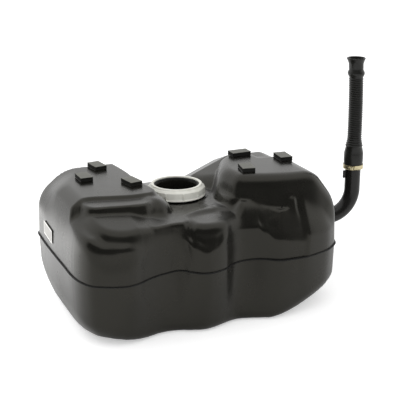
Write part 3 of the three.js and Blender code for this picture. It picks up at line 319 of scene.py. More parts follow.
upper_tiers = [
    (Plan(plan_curve(shares)), top, lean_share, radius, blend)
    for shares, top, lean_share, radius, blend in (
        (ridge_shares, ridge_top, ridge_lean_share, soft_round, soft_fillet),
        (shelf_shares, shelf_top, ramp_lean_share, soft_round, shelf_fillet),
        (strip_shares, lambda x, y: strip_height, side_lean_share, tight_round, fillet),
        (nose_shares, lambda x, y: nose_height, ramp_lean_share, wide_round, soft_fillet),
        (saddle_shares, saddle_top, rim_lean_share, tight_round, fillet),
        (lobe_left_shares, lambda x, y: left_plateau, side_lean_share, tight_round, fillet),
        (terrace_shares, terrace_top, terrace_lean_share, full_round, soft_fillet),
        (ledge_shares, lambda x, y: ledge_height, rim_lean_share, tight_round, fillet),
        (corner_right_shares, corner_top, corner_lean_share, soft_round, fillet),
        (back_ramp_shares, ramp_top, ramp_lean_share, wide_round, fillet),
        (lobe_right_shares, lobe_right_top, lobe_lean_share, wide_round, fillet),
    )
]


def slanted_end(inset, z, crest_inset, crest_height, crease_height):
    """Distance past a plane that falls from a crest on the plateau to a crease on the end wall."""
    run = crest_inset - flange_lip
    rise = crest_height - crease_height
    return ((crest_inset - inset) * rise + (z - crest_height) * run) / np.hypot(run, rise)


left_crest_inset = tank_length * 0.052
left_crest_growth = 0.040
left_crest_turn = tank_width * 0.638
left_crest_run = 0.15
left_crest_height = 0.152
left_crease = 0.098
right_crest_inset = tank_length * 0.113
right_crease = 0.092
ring_room = 0.0765


def upper_field(x, y, z):
    wall = past_wall(x, y, z)
    top = smooth_table(front_edge_shares, x / tank_length) * left_plateau
    top = top + smooth_table(shoulder_climb_shares, x / tank_length) * np.maximum(-wall, 0)
    edge_round = smooth_table(edge_round_shares, x / tank_length) * left_plateau
    value = rounded_max(wall, z - np.minimum(top, saddle_top(x, y)), edge_round)
    for plan, height, lean_share, radius, blend in upper_tiers:
        level = height(x, y)
        tier = rounded_max(plan(x, y) + lean_share * (z - level), z - level, radius)
        value = blended_min(value, tier, blend)
    value = rounded_max(value, wall, soft_round)
    left_crest = left_crest_inset + left_crest_growth * past_edge(y, left_crest_turn, left_crest_run)
    left_end = slanted_end(x, z, left_crest, left_crest_height, left_crease)
    right_end = slanted_end(tank_length - x, z, right_crest_inset, right_plateau, right_crease)
    value = rounded_max(rounded_max(value, left_end, wide_round), right_end, wide_round)
    well = np.minimum(ring_room - np.hypot(x - mouth_x, y - mouth_y), z - saddle_height)
    return rounded_max(value, well, tight_round)


# Where the square skin's sides meet the outline
corner_points = [
    int(np.argmin(np.linalg.norm(flange_outline - np.array(c) * [tank_length, tank_width], axis=1)))
    for c in corner_shares
]
least_size = 1e-9


def rim_point(u, v):
    """The outline's point for a direction on the unit square."""
    turn = np.select(
        [v <= -np.abs(u), (u >= np.abs(v)) & (u > 0), (v >= np.abs(u)) & (v > 0)], [0, 1, 2], 3
    )
    size = np.maximum(np.maximum(np.abs(u), np.abs(v)), least_size)
    sides = [turn == 0, turn == 1, turn == 2]
    share = np.select(sides, [u + size, v + size, size - u], size - v) / (2 * size)
    rim = np.zeros(u.shape + (2,))
    for side in range(4):
        start, end = corner_points[side], corner_points[(side + 1) % 4]
        count = (end - start) % len(flange_outline)
        points = flange_outline[(start + np.arange(count + 1)) % len(flange_outline)]
        lengths = np.concatenate([[0], np.cumsum(np.linalg.norm(np.diff(points, axis=0), axis=1))])
        for axis in range(2):
            found = np.interp(share * lengths[-1], lengths, points[:, axis])
            rim[..., axis] = np.where(turn == side, found, rim[..., axis])
    return rim


plate_low = np.array([tank_length * 0.21, tank_width * 0.36])
plate_high = np.array([tank_length * 0.8, tank_width * 0.7])
slope_step = 0.0004
least_slope = 0.05
longest_pull = 0.003
first_reach = 0.002
ray_steps = 34
ray_share = 0.85
longest_step_back = 0.006
longest_step = 0.03
fan_power = 1.6
smoothing_rounds = 3
skin_pulls = 3


def pulled_onto(field, p):
    """Points moved one step along the field's slope towards its surface."""
    value = field(p[..., 0], p[..., 1], p[..., 2])
    slope = np.stack(
        [field(*(p + slope_step * np.eye(3)[k]).transpose(2, 0, 1)) - value for k in range(3)], axis=-1
    ) / slope_step
    size = np.maximum((slope**2).sum(-1), least_slope)
    move = np.clip(value / np.sqrt(size), -longest_pull, longest_pull) / np.sqrt(size)
    return p - slope * move[..., None]


def skin(field, columns, rows, up):
    """Points on the field's surface on a square grid, by rays that fan out from a flat plate inside."""
    u, v = np.meshgrid(np.linspace(-1, 1, columns + 1), np.linspace(-1, 1, rows + 1), indexing="ij")
    reach = np.maximum(np.abs(u), np.abs(v))
    rim = rim_point(u, v)
    foot = np.clip(rim, plate_low, plate_high)
    centre = (plate_low + plate_high) / 2
    origin = centre + (foot - centre) * reach[..., None]
    away = (rim - foot) / np.linalg.norm(rim - foot, axis=-1, keepdims=True)
    tilt = (math.pi / 2) * (1 - reach**fan_power)
    x_way, y_way = away[..., 0] * np.cos(tilt), away[..., 1] * np.cos(tilt)
    z_way = up * np.sin(tilt)
    reached = np.full(u.shape, first_reach)
    for _ in range(ray_steps):
        here = (origin[..., 0] + x_way * reached, origin[..., 1] + y_way * reached, z_way * reached)
        reached = reached + np.clip(-field(*here), -longest_step_back, longest_step) * ray_share
    points = np.stack(
        [origin[..., 0] + x_way * reached, origin[..., 1] + y_way * reached, z_way * reached], axis=-1
    )
    for _ in range(smoothing_rounds):
        mean = (points[:-2, 1:-1] + points[2:, 1:-1] + points[1:-1, :-2] + points[1:-1, 2:]) / 4
        inner = (points[1:-1, 1:-1] + mean) / 2
        for _ in range(skin_pulls):
            inner = pulled_onto(field, inner)
        points[1:-1, 1:-1] = inner
    return points


def grid_mesh(points, flipped):
    """A bmesh grid whose vertices lie at the given points, in the model's frame."""
    columns, rows = points.shape[0] - 1, points.shape[1] - 1
    bm = bmesh.new()
    bmesh.ops.create_grid(bm, x_segments=columns, y_segments=rows, size=1)
    for vert in bm.verts:
        i, j = round((vert.co.x + 1) / 2 * columns), round((vert.co.y + 1) / 2 * rows)
        vert.co = points[i, j]
    if flipped:
        bmesh.ops.reverse_faces(bm, faces=bm.faces)
    return bm


def opened(bm, radius):
    """Cuts a round hole on the pump mouth's axis through a skin."""
    axis = Vector((mouth_x, mouth_y))
    near = [face for face in bm.faces if (face.calc_center_median().xy - axis).length < radius]
    bmesh.ops.delete(bm, geom=near, context="FACES")
    for edge in bm.edges:
        for vert in edge.verts if edge.is_boundary else ():
            across = Vector((vert.co.x - mouth_x, vert.co.y - mouth_y, 0))
            if 0 < across.length < 2 * radius:
                vert.co += across * (radius / across.length - 1)


def smooth_piece(name, bm, finish, body, replaced=(), sharp_degrees=40):
    """Finishes a bmesh as a piece that rides on a body and may stand for CAD nodes."""
    mesh = bpy.data.meshes.new(name)
    bm.to_mesh(mesh)
    bm.free()
    piece = bpy.data.objects.new(name, mesh)
    bpy.context.scene.collection.objects.link(piece)
    mesh.polygons.foreach_set("use_smooth", [True] * len(mesh.polygons))
    mesh.set_sharp_from_angle(angle=math.radians(sharp_degrees))
    mesh.materials.append(finish.material)
    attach(piece, body)
    if replaced:
        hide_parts(*replaced)
    return piece


to_frame = Matrix.Translation((shell_low.x, shell_low.y, flange_level))
wall_thickness = 0.005
coarse = 4
inner_pulls = 6
rim_tolerance = 0.004


def moulded_half(name, field, columns, rows, up, hole_radius, finish, node):
    """A hollow half: a fine outer skin, a coarser inner one, joined at the rim and at any hole."""
    outer = skin(field, columns, rows, up)
    lifted = outer[::coarse, ::coarse].copy()

    def deeper(x, y, z):
        return field(x, y, z) + wall_thickness

    for _ in range(inner_pulls):
        lifted[1:-1, 1:-1] = pulled_onto(deeper, lifted[1:-1, 1:-1])
    inward = (plate_low + plate_high) / 2 - lifted[..., :2]
    edge = np.ones(lifted.shape[:2], bool)
    edge[1:-1, 1:-1] = False
    step_in = inward / np.linalg.norm(inward, axis=-1, keepdims=True) * wall_thickness
    lifted[edge, :2] += step_in[edge]
    bm = grid_mesh(outer, up < 0)
    inner = grid_mesh(lifted, up > 0)
    if hole_radius:
        opened(bm, hole_radius)
        opened(inner, hole_radius)
    for face in inner.faces:
        face.material_index = 1
    inside = bpy.data.meshes.new(name + "_inside")
    inner.to_mesh(inside)
    inner.free()
    bm.from_mesh(inside)
    bpy.data.meshes.remove(inside)
    open_edges = [edge for edge in bm.edges if edge.is_boundary]
    rim = [edge for edge in open_edges if sum(abs(vert.co.z) for vert in edge.verts) < rim_tolerance]
    bmesh.ops.bridge_loops(bm, edges=rim)
    if hole_radius:
        bmesh.ops.bridge_loops(bm, edges=[edge for edge in bm.edges if edge.is_boundary])
    bmesh.ops.transform(bm, matrix=to_frame, verts=bm.verts)
    half = smooth_piece(name, bm, finish, "root", [node], sharp_degrees=60)
    half.data.materials.append(inside_finish.material)


class Value:
    """A socket of a material. Python's operators on it add Math nodes."""

    def __init__(self, finish, socket):
        self.finish, self.socket = finish, socket

    def _math(self, operation, first, second):
        return self.finish.node("ShaderNodeMath", {"operation": operation}, {0: first, 1: second})

    def __add__(self, other):
        return self._math("ADD", self, other)

    def __rsub__(self, other):
        return self._math("SUBTRACT", other, self)

    def __mul__(self, other):
        return self._math("MULTIPLY", self, other)

    def __pow__(self, other):
        return self._math("POWER", self, other)

    __radd__ = __add__
    __rmul__ = __mul__


class Finish:
    """A material, its nodes, and its Principled surface."""

    def __init__(self, name):
        self.material = bpy.data.materials.new(name)
        self.material.use_nodes = True
        self.tree = self.material.node_tree
        self.surface = self.tree.nodes["Principled BSDF"]

    def node(self, kind, settings=None, inputs=None, output=0):
        made = self.tree.nodes.new(kind)
        for key, value in (settings or {}).items():
            setattr(made, key, value)
        for key, value in (inputs or {}).items():
            self.feed(made.inputs[key], value)
        return Value(self, made.outputs[output])

    def feed(self, socket, value):
        if isinstance(value, Value):
            self.tree.links.new(value.socket, socket)
        else:
            socket.default_value = value

    def wear(self, **inputs):
        for key, value in inputs.items():
            self.feed(self.surface.inputs[key.replace("_", " ").title()], value)

    def place(self, scale):
        where = self.node("ShaderNodeTexCoord", output="Object")
        return self.node("ShaderNodeMapping", None, {"Vector": where, "Scale": scale})

    def noise(self, scale, detail, stretch=(1, 1, 1)):
        inputs = {"Vector": self.place(stretch), "Scale": scale, "Detail": detail}
        return self.node("ShaderNodeTexNoise", None, inputs)

    def blend(self, share, first, second):
        """A colour between two, through the Mix node's colour sockets."""
        colours = {0: share, 6: (*first, 1), 7: (*second, 1)}
        return self.node("ShaderNodeMix", {"data_type": "RGBA"}, colours, output=2)

    def bump(self, height, strength, distance):
        inputs = {"Height": height, "Strength": strength, "Distance": distance}
        return self.node("ShaderNodeBump", None, inputs)


shell_black = (0.006, 0.006, 0.005)
shell_bloom = (0.016, 0.015, 0.013)
shell_finish = Finish("moulded_polyethylene")
streaks = shell_finish.noise(scale=22, detail=3, stretch=(1, 1, 0.12))
clouds = shell_finish.noise(scale=9, detail=4)
peel = shell_finish.noise(scale=260, detail=2)
shell_finish.wear(
    base_color=shell_finish.blend(clouds ** 2, shell_black, shell_bloom),
    roughness=0.17 + 0.14 * clouds + 0.05 * streaks,
    normal=shell_finish.bump(peel + 0.7 * streaks, strength=0.10, distance=0.0005),
)
shell_finish.surface.inputs["IOR"].default_value = 1.52
shell_finish.surface.inputs["Specular IOR Level"].default_value = 0.39
shell_finish.surface.inputs["Specular Tint"].default_value = (1, 0.965, 0.85, 1)
inside_black = (0.002, 0.002, 0.002)
inside_stained = (0.007, 0.006, 0.005)
inside_finish = Finish("fuel_stained_inside")
stain = inside_finish.noise(scale=14, detail=4)
inside_finish.wear(
    base_color=inside_finish.blend(stain, inside_black, inside_stained),
    roughness=0.7 + 0.2 * stain,
    normal=inside_finish.bump(stain, strength=0.1, distance=0.0005),
)
inside_finish.surface.inputs["Specular IOR Level"].default_value = 0.15

skin_columns = 288
skin_rows = 208
neck_middle = 0.055
moulded_half(
    "upper_half", upper_field, skin_columns, skin_rows, 1, neck_middle, shell_finish, "upper_shell"
)


# Lower half of the shell: the same outline blown downward, with both ends cut away on a slant so that
# the tank clears the car's frame. It stands on its flat underside.
tank_depth = flange_level
keel_round = 0.020
# For each slanted corner: from the right end, from the back, the share of the cut that runs along the
# tank, how far in it starts, its slope, and the radius of its edge
keel_cuts = (
    (0, 0, 0.8, 0.108, 0.5, 0.025), (0, 0, 1.0, 0.030, 1.2, 0.030),
    (1, 0, 0.8, 0.166, 0.56, 0.020), (0, 1, 0.6, 0.100, 0.75, 0.035), (1, 1, 0.8, 0.120, 0.6, 0.035),
)
keel_shares = [
    (0.002, 0.83), (0, 0.6), (0.0015, 0.4), (0.004, 0.22), (0.017, 0.134), (0.039, 0.074), (0.066, 0.045),
    (0.109, 0.02), (0.156, 0.008), (0.2, 0.018), (0.243, 0.036), (0.293, 0.055), (0.335, 0.05),
    (0.38, 0.024), (0.43, 0.006), (0.481, 0.018), (0.53, 0.044), (0.566, 0.056), (0.62, 0.034),
    (0.677, 0.006), (0.73, 0.008), (0.78, 0.02), (0.859, 0.04), (0.91, 0.068), (0.943, 0.104),
    (0.973, 0.151), (0.99, 0.219), (0.998, 0.32), (1, 0.6), (0.998, 0.83), (0.988, 0.93), (0.957, 0.984),
    (0.9, 0.997), (0.6, 1), (0.3, 0.9995), (0.09, 0.996), (0.034, 0.982), (0.009, 0.94),
]
keel_plan = Plan(plan_curve(keel_shares))


def lower_field(x, y, z):
    """The walls and the flat underside, whose corners rise on slanted planes."""
    wall = past_wall(x, y, z) + (keel_plan(x, y) - flange_plan(x, y)) * np.clip(-z / tank_depth, 0, 1)
    value = rounded_max(wall, -z - tank_depth, keel_round)
    for from_right, from_back, across, reach, slope, radius in keel_cuts:
        side = tank_length - x if from_right else x
        end = tank_width - y if from_back else y
        inset = across * side + math.sqrt(1 - across * across) * end
        cut = ((reach - inset) * slope - (z + tank_depth)) / math.hypot(slope, 1)
        value = rounded_max(value, cut, radius)
    return value


lower_columns = 200
lower_rows = 144
moulded_half("lower_half", lower_field, lower_columns, lower_rows, -1, 0, shell_finish, "lower_shell")


# Parting flange: the pinched seam between the two halves of the mould. It is solid plastic that runs
# all round the tank, with its two outer edges softened.
flange_thickness = 0.0009
flange_trim = 0.0045
flange_width = 0.013
flange_softness = 0.0009
seam_level = 0.0002
level_tolerance = 1e-5
flange_way = np.roll(flange_outline, -1, axis=0) - np.roll(flange_outline, 1, axis=0)
flange_inward = np.stack([-flange_way[:, 1], flange_way[:, 0]], axis=1)
flange_inward /= np.linalg.norm(flange_inward, axis=1, keepdims=True)
seam_black = (0.003, 0.003, 0.003)
seam_scuffed = (0.010, 0.010, 0.009)
seam_finish = Finish("pinched_seam")
seam_grain = seam_finish.noise(scale=300, detail=3)
seam_finish.wear(
    base_color=seam_finish.blend(seam_grain, seam_black, seam_scuffed),
    roughness=0.5 + 0.2 * seam_grain,
    normal=seam_finish.bump(seam_grain, strength=0.3, distance=0.0003),
)
for name, level, thickness in (
    ("upper_flange", seam_level, flange_thickness), ("lower_flange", -seam_level, -flange_thickness),
):
    bm = bmesh.new()
    loops = []
    for inset in (flange_trim, flange_width):
        verts = [bm.verts.new((x, y, level)) for x, y in flange_outline + inset * flange_inward]
        loops += [bm.edges.new((verts[k - 1], vert)) for k, vert in enumerate(verts)]
    bmesh.ops.bridge_loops(bm, edges=loops)
    raised = bmesh.ops.extrude_face_region(bm, geom=bm.faces[:])["geom"]
    raised_verts = [item for item in raised if isinstance(item, bmesh.types.BMVert)]
    bmesh.ops.translate(bm, vec=(0, 0, thickness), verts=raised_verts)
    bmesh.ops.recalc_face_normals(bm, faces=bm.faces)
    outer_edges = [
        edge for edge in bm.edges
        if abs(edge.verts[0].co.z - edge.verts[1].co.z) < level_tolerance
        and abs(edge.verts[0].co.z - level - thickness) < level_tolerance
        and len(edge.link_faces) == 2 and any(abs(face.normal.z) < 0.5 for face in edge.link_faces)
    ]
    bmesh.ops.bevel(
        bm, geom=outer_edges, offset=flange_softness, segments=2, profile=0.5, affect="EDGES", material=-1
    )
    bmesh.ops.transform(bm, matrix=to_frame, verts=bm.verts)
    smooth_piece(name, bm, seam_finish, "root")


# Pump mouth: a neck moulded up out of the saddle, with a flared foot and one screw ridge of one and a
# quarter turns for the lock ring. Its face carries the seal.
seal_low, seal_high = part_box("neck_seal")
mouth = Vector(((seal_low.x + seal_high.x) / 2, (seal_low.y + seal_high.y) / 2, 0))
seat_gap = 0.0003
neck_bore = 0.052
neck_outer = 0.058
neck_top = seal_low.z - seat_gap
saddle_level = flange_level + saddle_height
thread_pitch = 0.008
thread_turns = 1.25
thread_start = saddle_level + 0.007
thread_root = 0.057
thread_crest = 0.0602
thread_foot_half = 0.0015
thread_crest_half = 0.0007
neck_depth = 0.016
neck_flare = ((0.010, -0.006), (0.003, 0.001), (0, 0.006))
neck_sides = 96
full_turn = 2 * math.pi
longest_rounding = 0.45
rounding_steps = (0, 0.3, 0.7, 1)


def softened(corners, radius):
    """The same closed profile with every corner rounded by a short curve."""
    points = [np.array(corner) for corner in corners]
    rounded = []
    for k, here in enumerate(points):
        ways = [other - here for other in (points[k - 1], points[(k + 1) % len(points)])]
        start, end = (
            here + way * min(radius / np.linalg.norm(way), longest_rounding) for way in ways
        )
        for t in rounding_steps:
            rounded.append((1 - t) ** 2 * start + 2 * t * (1 - t) * here + t**2 * end)
    return rounded


def turned(profile, steps):
    """A closed ring turned round the upright axis from a profile of radii and heights."""
    bm = bmesh.new()
    verts = [bm.verts.new((r, 0, z)) for r, z in profile]
    edges = [bm.edges.new((verts[k - 1], vert)) for k, vert in enumerate(verts)]
    bmesh.ops.spin(
        bm, geom=verts + edges, cent=(0, 0, 0), axis=(0, 0, 1), angle=full_turn, steps=steps,
        use_merge=True,
    )
    bmesh.ops.recalc_face_normals(bm, faces=bm.faces)
    return bm


def wound(bm, section, turns, rise, steps_per_turn=48):
    """Adds a ridge or wire that climbs round the upright axis, closed at both ends."""
    face = bm.faces.new([bm.verts.new((r, 0, z)) for r, z in section])
    steps = round(turns * steps_per_turn)
    bmesh.ops.spin(
        bm, geom=[*face.verts, *face.edges, face], cent=(0, 0, 0), axis=(0, 0, 1),
        dvec=(0, 0, rise / steps), angle=full_turn * turns, steps=steps,
    )


def moved(bm, place):
    """The bmesh, put in its place, with its faces pointing outwards."""
    bmesh.ops.transform(bm, matrix=place, verts=bm.verts)
    bmesh.ops.recalc_face_normals(bm, faces=bm.faces)
    return bm


def thread_section(root, crest, level):
    """The screw ridge's profile: a wide root and a narrower crest."""
    return [
        (root, level - thread_foot_half), (crest, level - thread_crest_half),
        (crest, level + thread_crest_half), (root, level + thread_foot_half),
    ]


neck_profile = softened([
    (neck_bore, saddle_level - neck_depth),
    *((neck_outer + out, saddle_level + up) for out, up in neck_flare),
    (neck_outer, neck_top), (neck_bore, neck_top),
], radius=0.0012)
neck = turned(neck_profile, neck_sides)
thread_rise = thread_turns * thread_pitch
wound(neck, thread_section(thread_root, thread_crest, thread_start), thread_turns, thread_rise)
at_mouth = Matrix.Translation(mouth)
smooth_piece("pump_neck", moved(neck, at_mouth), shell_finish, "root")


# Neck seal and slip ring: a soft rubber ring on the neck's face, and a thin harder one that keeps it
# from twisting while the lock ring is turned.
slip_bore = 0.053
rubber_black = (0.008, 0.008, 0.008)
rubber_bloom = (0.018, 0.018, 0.017)
rubber_finish = Finish("seal_rubber")
rubber_grain = rubber_finish.noise(scale=900, detail=2)
rubber_cloud = rubber_finish.noise(scale=60, detail=3)
rubber_finish.wear(
    base_color=rubber_finish.blend(rubber_cloud, rubber_black, rubber_bloom),
    roughness=0.55 + 0.2 * rubber_grain,
    normal=rubber_finish.bump(rubber_grain, strength=0.15, distance=0.0002),
)
for name, node, body, inner in (
    ("face_seal", "neck_seal", "root", neck_bore), ("slip_washer", "slip_ring", "slip", slip_bore),
):
    low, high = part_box(node)
    outer = (high.x - low.x) / 2
    profile = [(inner, low.z), (outer, low.z), (outer, high.z), (inner, high.z)]
    washer = turned(softened(profile, radius=0.0006), neck_sides)
    smooth_piece(name, moved(washer, at_mouth), rubber_finish, body, [node])


# Lock ring: white moulded plastic, screwed down over the neck to clamp the pump. It has a flat lip, a
# sloping shoulder, a skirt with ten grip ribs for the wrench, and a rim at its foot.
ring_low, ring_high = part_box("lock_ring")
ring_rim = (ring_high.x - ring_low.x) / 2
ring_hole = 0.0565
ring_thread = 0.0607
ring_skirt = ring_rim - 0.002
lip_edge = 0.0635
lip_thickness = 0.004
lip_low = ring_high.z - lip_thickness
shoulder = ring_high.z - 0.009
rim_height = 0.0028
skirt_foot = 0.0042
lip_foot = ((0.0022, -0.0006), (0.0006, 0.0008))
lip_crown = ((lip_edge, 0.0005), (lip_edge - 0.0025, 0), (ring_hole + 0.0015, 0), (ring_hole, 0.0012))
ring = turned(softened([
    (ring_hole, lip_low), (ring_thread, lip_low), (ring_thread, ring_low.z), (ring_rim, ring_low.z),
    (ring_rim, ring_low.z + rim_height), (ring_skirt, ring_low.z + skirt_foot), (ring_skirt, shoulder),
    *((lip_edge + out, lip_low + up) for out, up in lip_foot),
    *((radius, ring_high.z - drop) for radius, drop in lip_crown),
], radius=0.0007), steps=120)
mate_root = 0.0625
mate_crest = 0.0585
mate_start = thread_start + thread_pitch / 2
wound(ring, thread_section(mate_root, mate_crest, mate_start), thread_turns, thread_rise)
grip_ribs = 10
grip_foot = 0.0032
grip_inset = 0.0006
grip_softness = 0.0006
grip_start_share = 0.3
grip_size = (0.0036, 0.0042, shoulder - ring_low.z - grip_foot)
for k in range(grip_ribs):
    rib = bmesh.ops.create_cube(ring, size=1, matrix=Matrix.Diagonal((*grip_size, 1)))["verts"]
    edges = list({edge for vert in rib for edge in vert.link_edges})
    made = bmesh.ops.bevel(
        ring, geom=edges, offset=grip_softness, segments=2, profile=0.5, affect="EDGES", material=-1
    )
    rib_verts = set(made["verts"]) | {vert for vert in rib if vert.is_valid}
    out = Matrix.Translation((ring_skirt - grip_inset, 0, (shoulder + ring_low.z + grip_foot) / 2))
    turn = Matrix.Rotation(full_turn * (k + grip_start_share) / grip_ribs, 4, "Z")
    bmesh.ops.transform(ring, matrix=turn @ out, verts=list(rib_verts))
ring_white = (0.80, 0.80, 0.74)
ring_soiled = (0.62, 0.61, 0.53)
ring_finish = Finish("white_moulding")
ring_dirt = ring_finish.noise(scale=70, detail=4)
ring_fine = ring_finish.noise(scale=700, detail=2)
ring_finish.wear(
    base_color=ring_finish.blend(ring_dirt ** 2, ring_white, ring_soiled),
    roughness=0.34 + 0.2 * ring_dirt,
    normal=ring_finish.bump(ring_fine, strength=0.12, distance=0.0002),
)
smooth_piece(
    "lock_ring_moulding", moved(ring, at_mouth), ring_finish, "lock", ["lock_ring"]
)


# Foam pads: closed-cell foam with a smooth skin, die-cut and glued on raised lands that are moulded in
# the top. Their upward faces carry a pale grey that is painted light, and their sides a near black that
# is painted shade. They keep the tank from drumming on the car's floor.
pad_turns = {
    "foam_pad_left_back": 8, "foam_pad_left_outer": 1, "foam_pad_left_inner": 11,
    "foam_pad_right_back": 92, "foam_pad_right_front": -11, "foam_pad_right_outer": -4,
}
pad_size = (0.032, 0.052)
pad_crown = 0.0008
pad_waist = 0.03
painted_light_facing = 0.6
land_border = -0.0004
land_depth = 0.012


def cushioned_block(size, softness, cuts=0):
    """A block with rounded edges, cut into squares where it has to bend."""
    bm = bmesh.new()
    bmesh.ops.create_cube(bm, size=1, matrix=Matrix.Diagonal((*size, 1)))
    bmesh.ops.bevel(
        bm, geom=bm.edges[:], offset=softness, segments=3, profile=0.5, affect="EDGES", material=-1
    )
    if cuts:
        long_edges = [edge for edge in bm.edges if edge.calc_length() > 3 * softness]
        bmesh.ops.subdivide_edges(bm, edges=long_edges, cuts=cuts, use_grid_fill=True)
    return bm


# Pale grey for the pads' upward faces: painted light, with random patches
painted_light_top_grey = (0.11, 0.11, 0.095)
painted_light_top_pale = (0.15, 0.15, 0.13)
painted_light_top_finish = Finish("foam_top_painted_light")
foam_cells = painted_light_top_finish.noise(scale=1400, detail=2)
foam_patch = painted_light_top_finish.noise(scale=120, detail=3)
painted_light_top_finish.wear(
    base_color=painted_light_top_finish.blend(foam_patch, painted_light_top_grey, painted_light_top_pale),
    roughness=0.5 + 0.2 * foam_cells,
    normal=painted_light_top_finish.bump(foam_cells + foam_patch, strength=0.35, distance=0.0003),
)
# Near black for the pads' sides: painted shade, with a random cell grain
painted_shade_side_black = (0.006, 0.006, 0.005)
painted_shade_side_dusty = (0.016, 0.016, 0.014)
painted_shade_side_finish = Finish("foam_sides_painted_shade")
cut_cells = painted_shade_side_finish.noise(scale=1200, detail=3)
painted_shade_side_finish.wear(
    base_color=painted_shade_side_finish.blend(cut_cells, painted_shade_side_black, painted_shade_side_dusty),
    roughness=0.7 + 0.2 * cut_cells,
    normal=painted_shade_side_finish.bump(cut_cells, strength=0.5, distance=0.0004),
)
painted_shade_side_finish.surface.inputs["Specular IOR Level"].default_value = 0.2
land_size = (pad_size[0] + 2 * land_border, pad_size[1] + 2 * land_border, land_depth)
for node, degrees in pad_turns.items():
    low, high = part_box(node)
    middle = (low + high) / 2
    thickness = high.z - low.z
    turn = Matrix.Rotation(math.radians(degrees), 4, "Z")
    land = cushioned_block(land_size, softness=0.0016)
    land_level = low.z - seat_gap - land_depth / 2
    land_place = Matrix.Translation((middle.x, middle.y, land_level)) @ turn
    land_name = node.replace("foam_pad", "pad_land")
    smooth_piece(land_name, moved(land, land_place), shell_finish, "root")
    pad = cushioned_block((*pad_size, thickness), softness=0.0007, cuts=8)
    for vert in pad.verts:
        across = 1 - (2 * vert.co.x / pad_size[0]) ** 2
        along = 1 - (2 * vert.co.y / pad_size[1]) ** 2
        level = vert.co.z / thickness
        vert.co.z -= max(0, level) * pad_crown * (1 - across * along)
        waist = 1 - pad_waist * (1 - min(1, abs(2 * level)) ** 2)
        vert.co.x *= waist
        vert.co.y *= waist
    moved(pad, Matrix.Translation(middle) @ turn)
    # Faces that look up take the pale foam as painted light; the others take the near black as painted
    # shade
    for face in pad.faces:
        face.material_index = int(face.normal.z < painted_light_facing)
    padded = smooth_piece(node + "_foam", pad, painted_light_top_finish, "root", [node])
    padded.data.materials.append(painted_shade_side_finish.material)


# Label: a white film sticker on a flat land in the left wall. The maker's print is left off: it has a
# plain frame and a pale grey panel.
label_low, label_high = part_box("label")
label_middle = (label_low + label_high) / 2
label_length = 0.074
label_height = 0.034
label_thickness = 0.0007
label_frame = 0.0045
label_tilt = Matrix.Rotation(math.radians(4), 4, "X")
backing_depth = 0.008
backing_margin = 0.002
backing_x = label_high.x + seat_gap + backing_depth / 2
backing_size = (backing_depth, label_length - backing_margin, label_height - backing_margin)
land = cushioned_block(backing_size, softness=0.0012)
land_place = Matrix.Translation((backing_x, label_middle.y, label_middle.z)) @ label_tilt
smooth_piece("label_land", moved(land, land_place), shell_finish, "root")
film_white = (0.80, 0.79, 0.76)
film_soiled = (0.62, 0.60, 0.55)
film_finish = Finish("label_film")
film_wear = film_finish.noise(scale=90, detail=4)
film_finish.wear(
    base_color=film_finish.blend(film_wear ** 3, film_white, film_soiled),
    roughness=0.35 + 0.15 * film_wear,
    normal=film_finish.bump(film_wear, strength=0.1, distance=0.0004),
)
panel_grey = (0.36, 0.35, 0.33)
panel_pale = (0.46, 0.45, 0.42)
panel_finish = Finish("label_panel")
panel_wear = panel_finish.noise(scale=120, detail=4)
panel_finish.wear(
    base_color=panel_finish.blend(panel_wear, panel_grey, panel_pale),
    roughness=0.4 + 0.1 * panel_wear,
    normal=panel_finish.bump(panel_wear, strength=0.1, distance=0.0004),
)
sticker = bmesh.new()
sticker_size = (label_thickness, label_length, label_height, 1)
bmesh.ops.create_cube(sticker, size=1, matrix=Matrix.Diagonal(sticker_size))
printed_face = min(sticker.faces, key=lambda face: face.calc_center_median().x)
bmesh.ops.inset_region(sticker, faces=[printed_face], thickness=label_frame)
printed_face.material_index = 1
sticker_place = Matrix.Translation(label_middle) @ label_tilt
label = smooth_piece(
    "label_sticker", moved(sticker, sticker_place), film_finish, "root", ["label"],
    sharp_degrees=20,
)
label.data.materials.append(panel_finish.material)


# Filler boss and nipple: the boss is moulded out of the right end, and the nipple is welded to its
# face to take the elbow.
nipple_low, nipple_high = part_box("filler_nipple")
filler_axis = Vector((0, (nipple_low.y + nipple_high.y) / 2, (nipple_low.z + nipple_high.z) / 2))
boss_face = nipple_low.x - seat_gap
boss_radius = 0.023
nipple_flange = 0.021
nipple_outer = 0.0167
nipple_bore = 0.0138
filler_bore = 0.0142
boss_depth = 0.030
boss_flare = 0.006
boss_flare_depth = 0.008
pipe_sides = 64
quarter_turn = math.radians(90)
along_filler = Matrix.Translation(filler_axis) @ Matrix.Rotation(quarter_turn, 4, "Y")
boss = turned(softened([
    (filler_bore, boss_face - boss_depth), (boss_radius + boss_flare, boss_face - boss_depth),
    (boss_radius, boss_face - boss_flare_depth), (boss_radius, boss_face), (filler_bore, boss_face),
], radius=0.0015), pipe_sides)
smooth_piece("filler_boss", moved(boss, along_filler), shell_finish, "root")
nipple_neck = nipple_low.x + 0.004
nipple = turned(softened([
    (nipple_bore, nipple_low.x), (nipple_flange, nipple_low.x), (nipple_flange, nipple_neck),
    (nipple_outer, nipple_neck), (nipple_outer, nipple_high.x), (nipple_bore, nipple_high.x),
], radius=0.0008), pipe_sides)
smooth_piece(
    "welded_nipple", moved(nipple, along_filler), shell_finish, "root", ["filler_nipple"]
)


# Elbow pipe: a moulded rubber tube that slides over the nipple and turns up the body side. A small fin
# on its riser locates it.
pipe_low, pipe_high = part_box("elbow_pipe")
pipe_outer = 0.020
pipe_bore = 0.0172
bend_radius = 0.067
riser_x = pipe_high.x - pipe_outer
bend_start = riser_x - bend_radius
bend_steps = 28
pipe = bmesh.new()
foot_turn = Matrix.Rotation(quarter_turn, 4, "Y")
bmesh.ops.create_circle(pipe, segments=40, radius=pipe_outer, matrix=foot_turn)
bmesh.ops.translate(pipe, vec=(pipe_low.x, filler_axis.y, filler_axis.z), verts=pipe.verts)


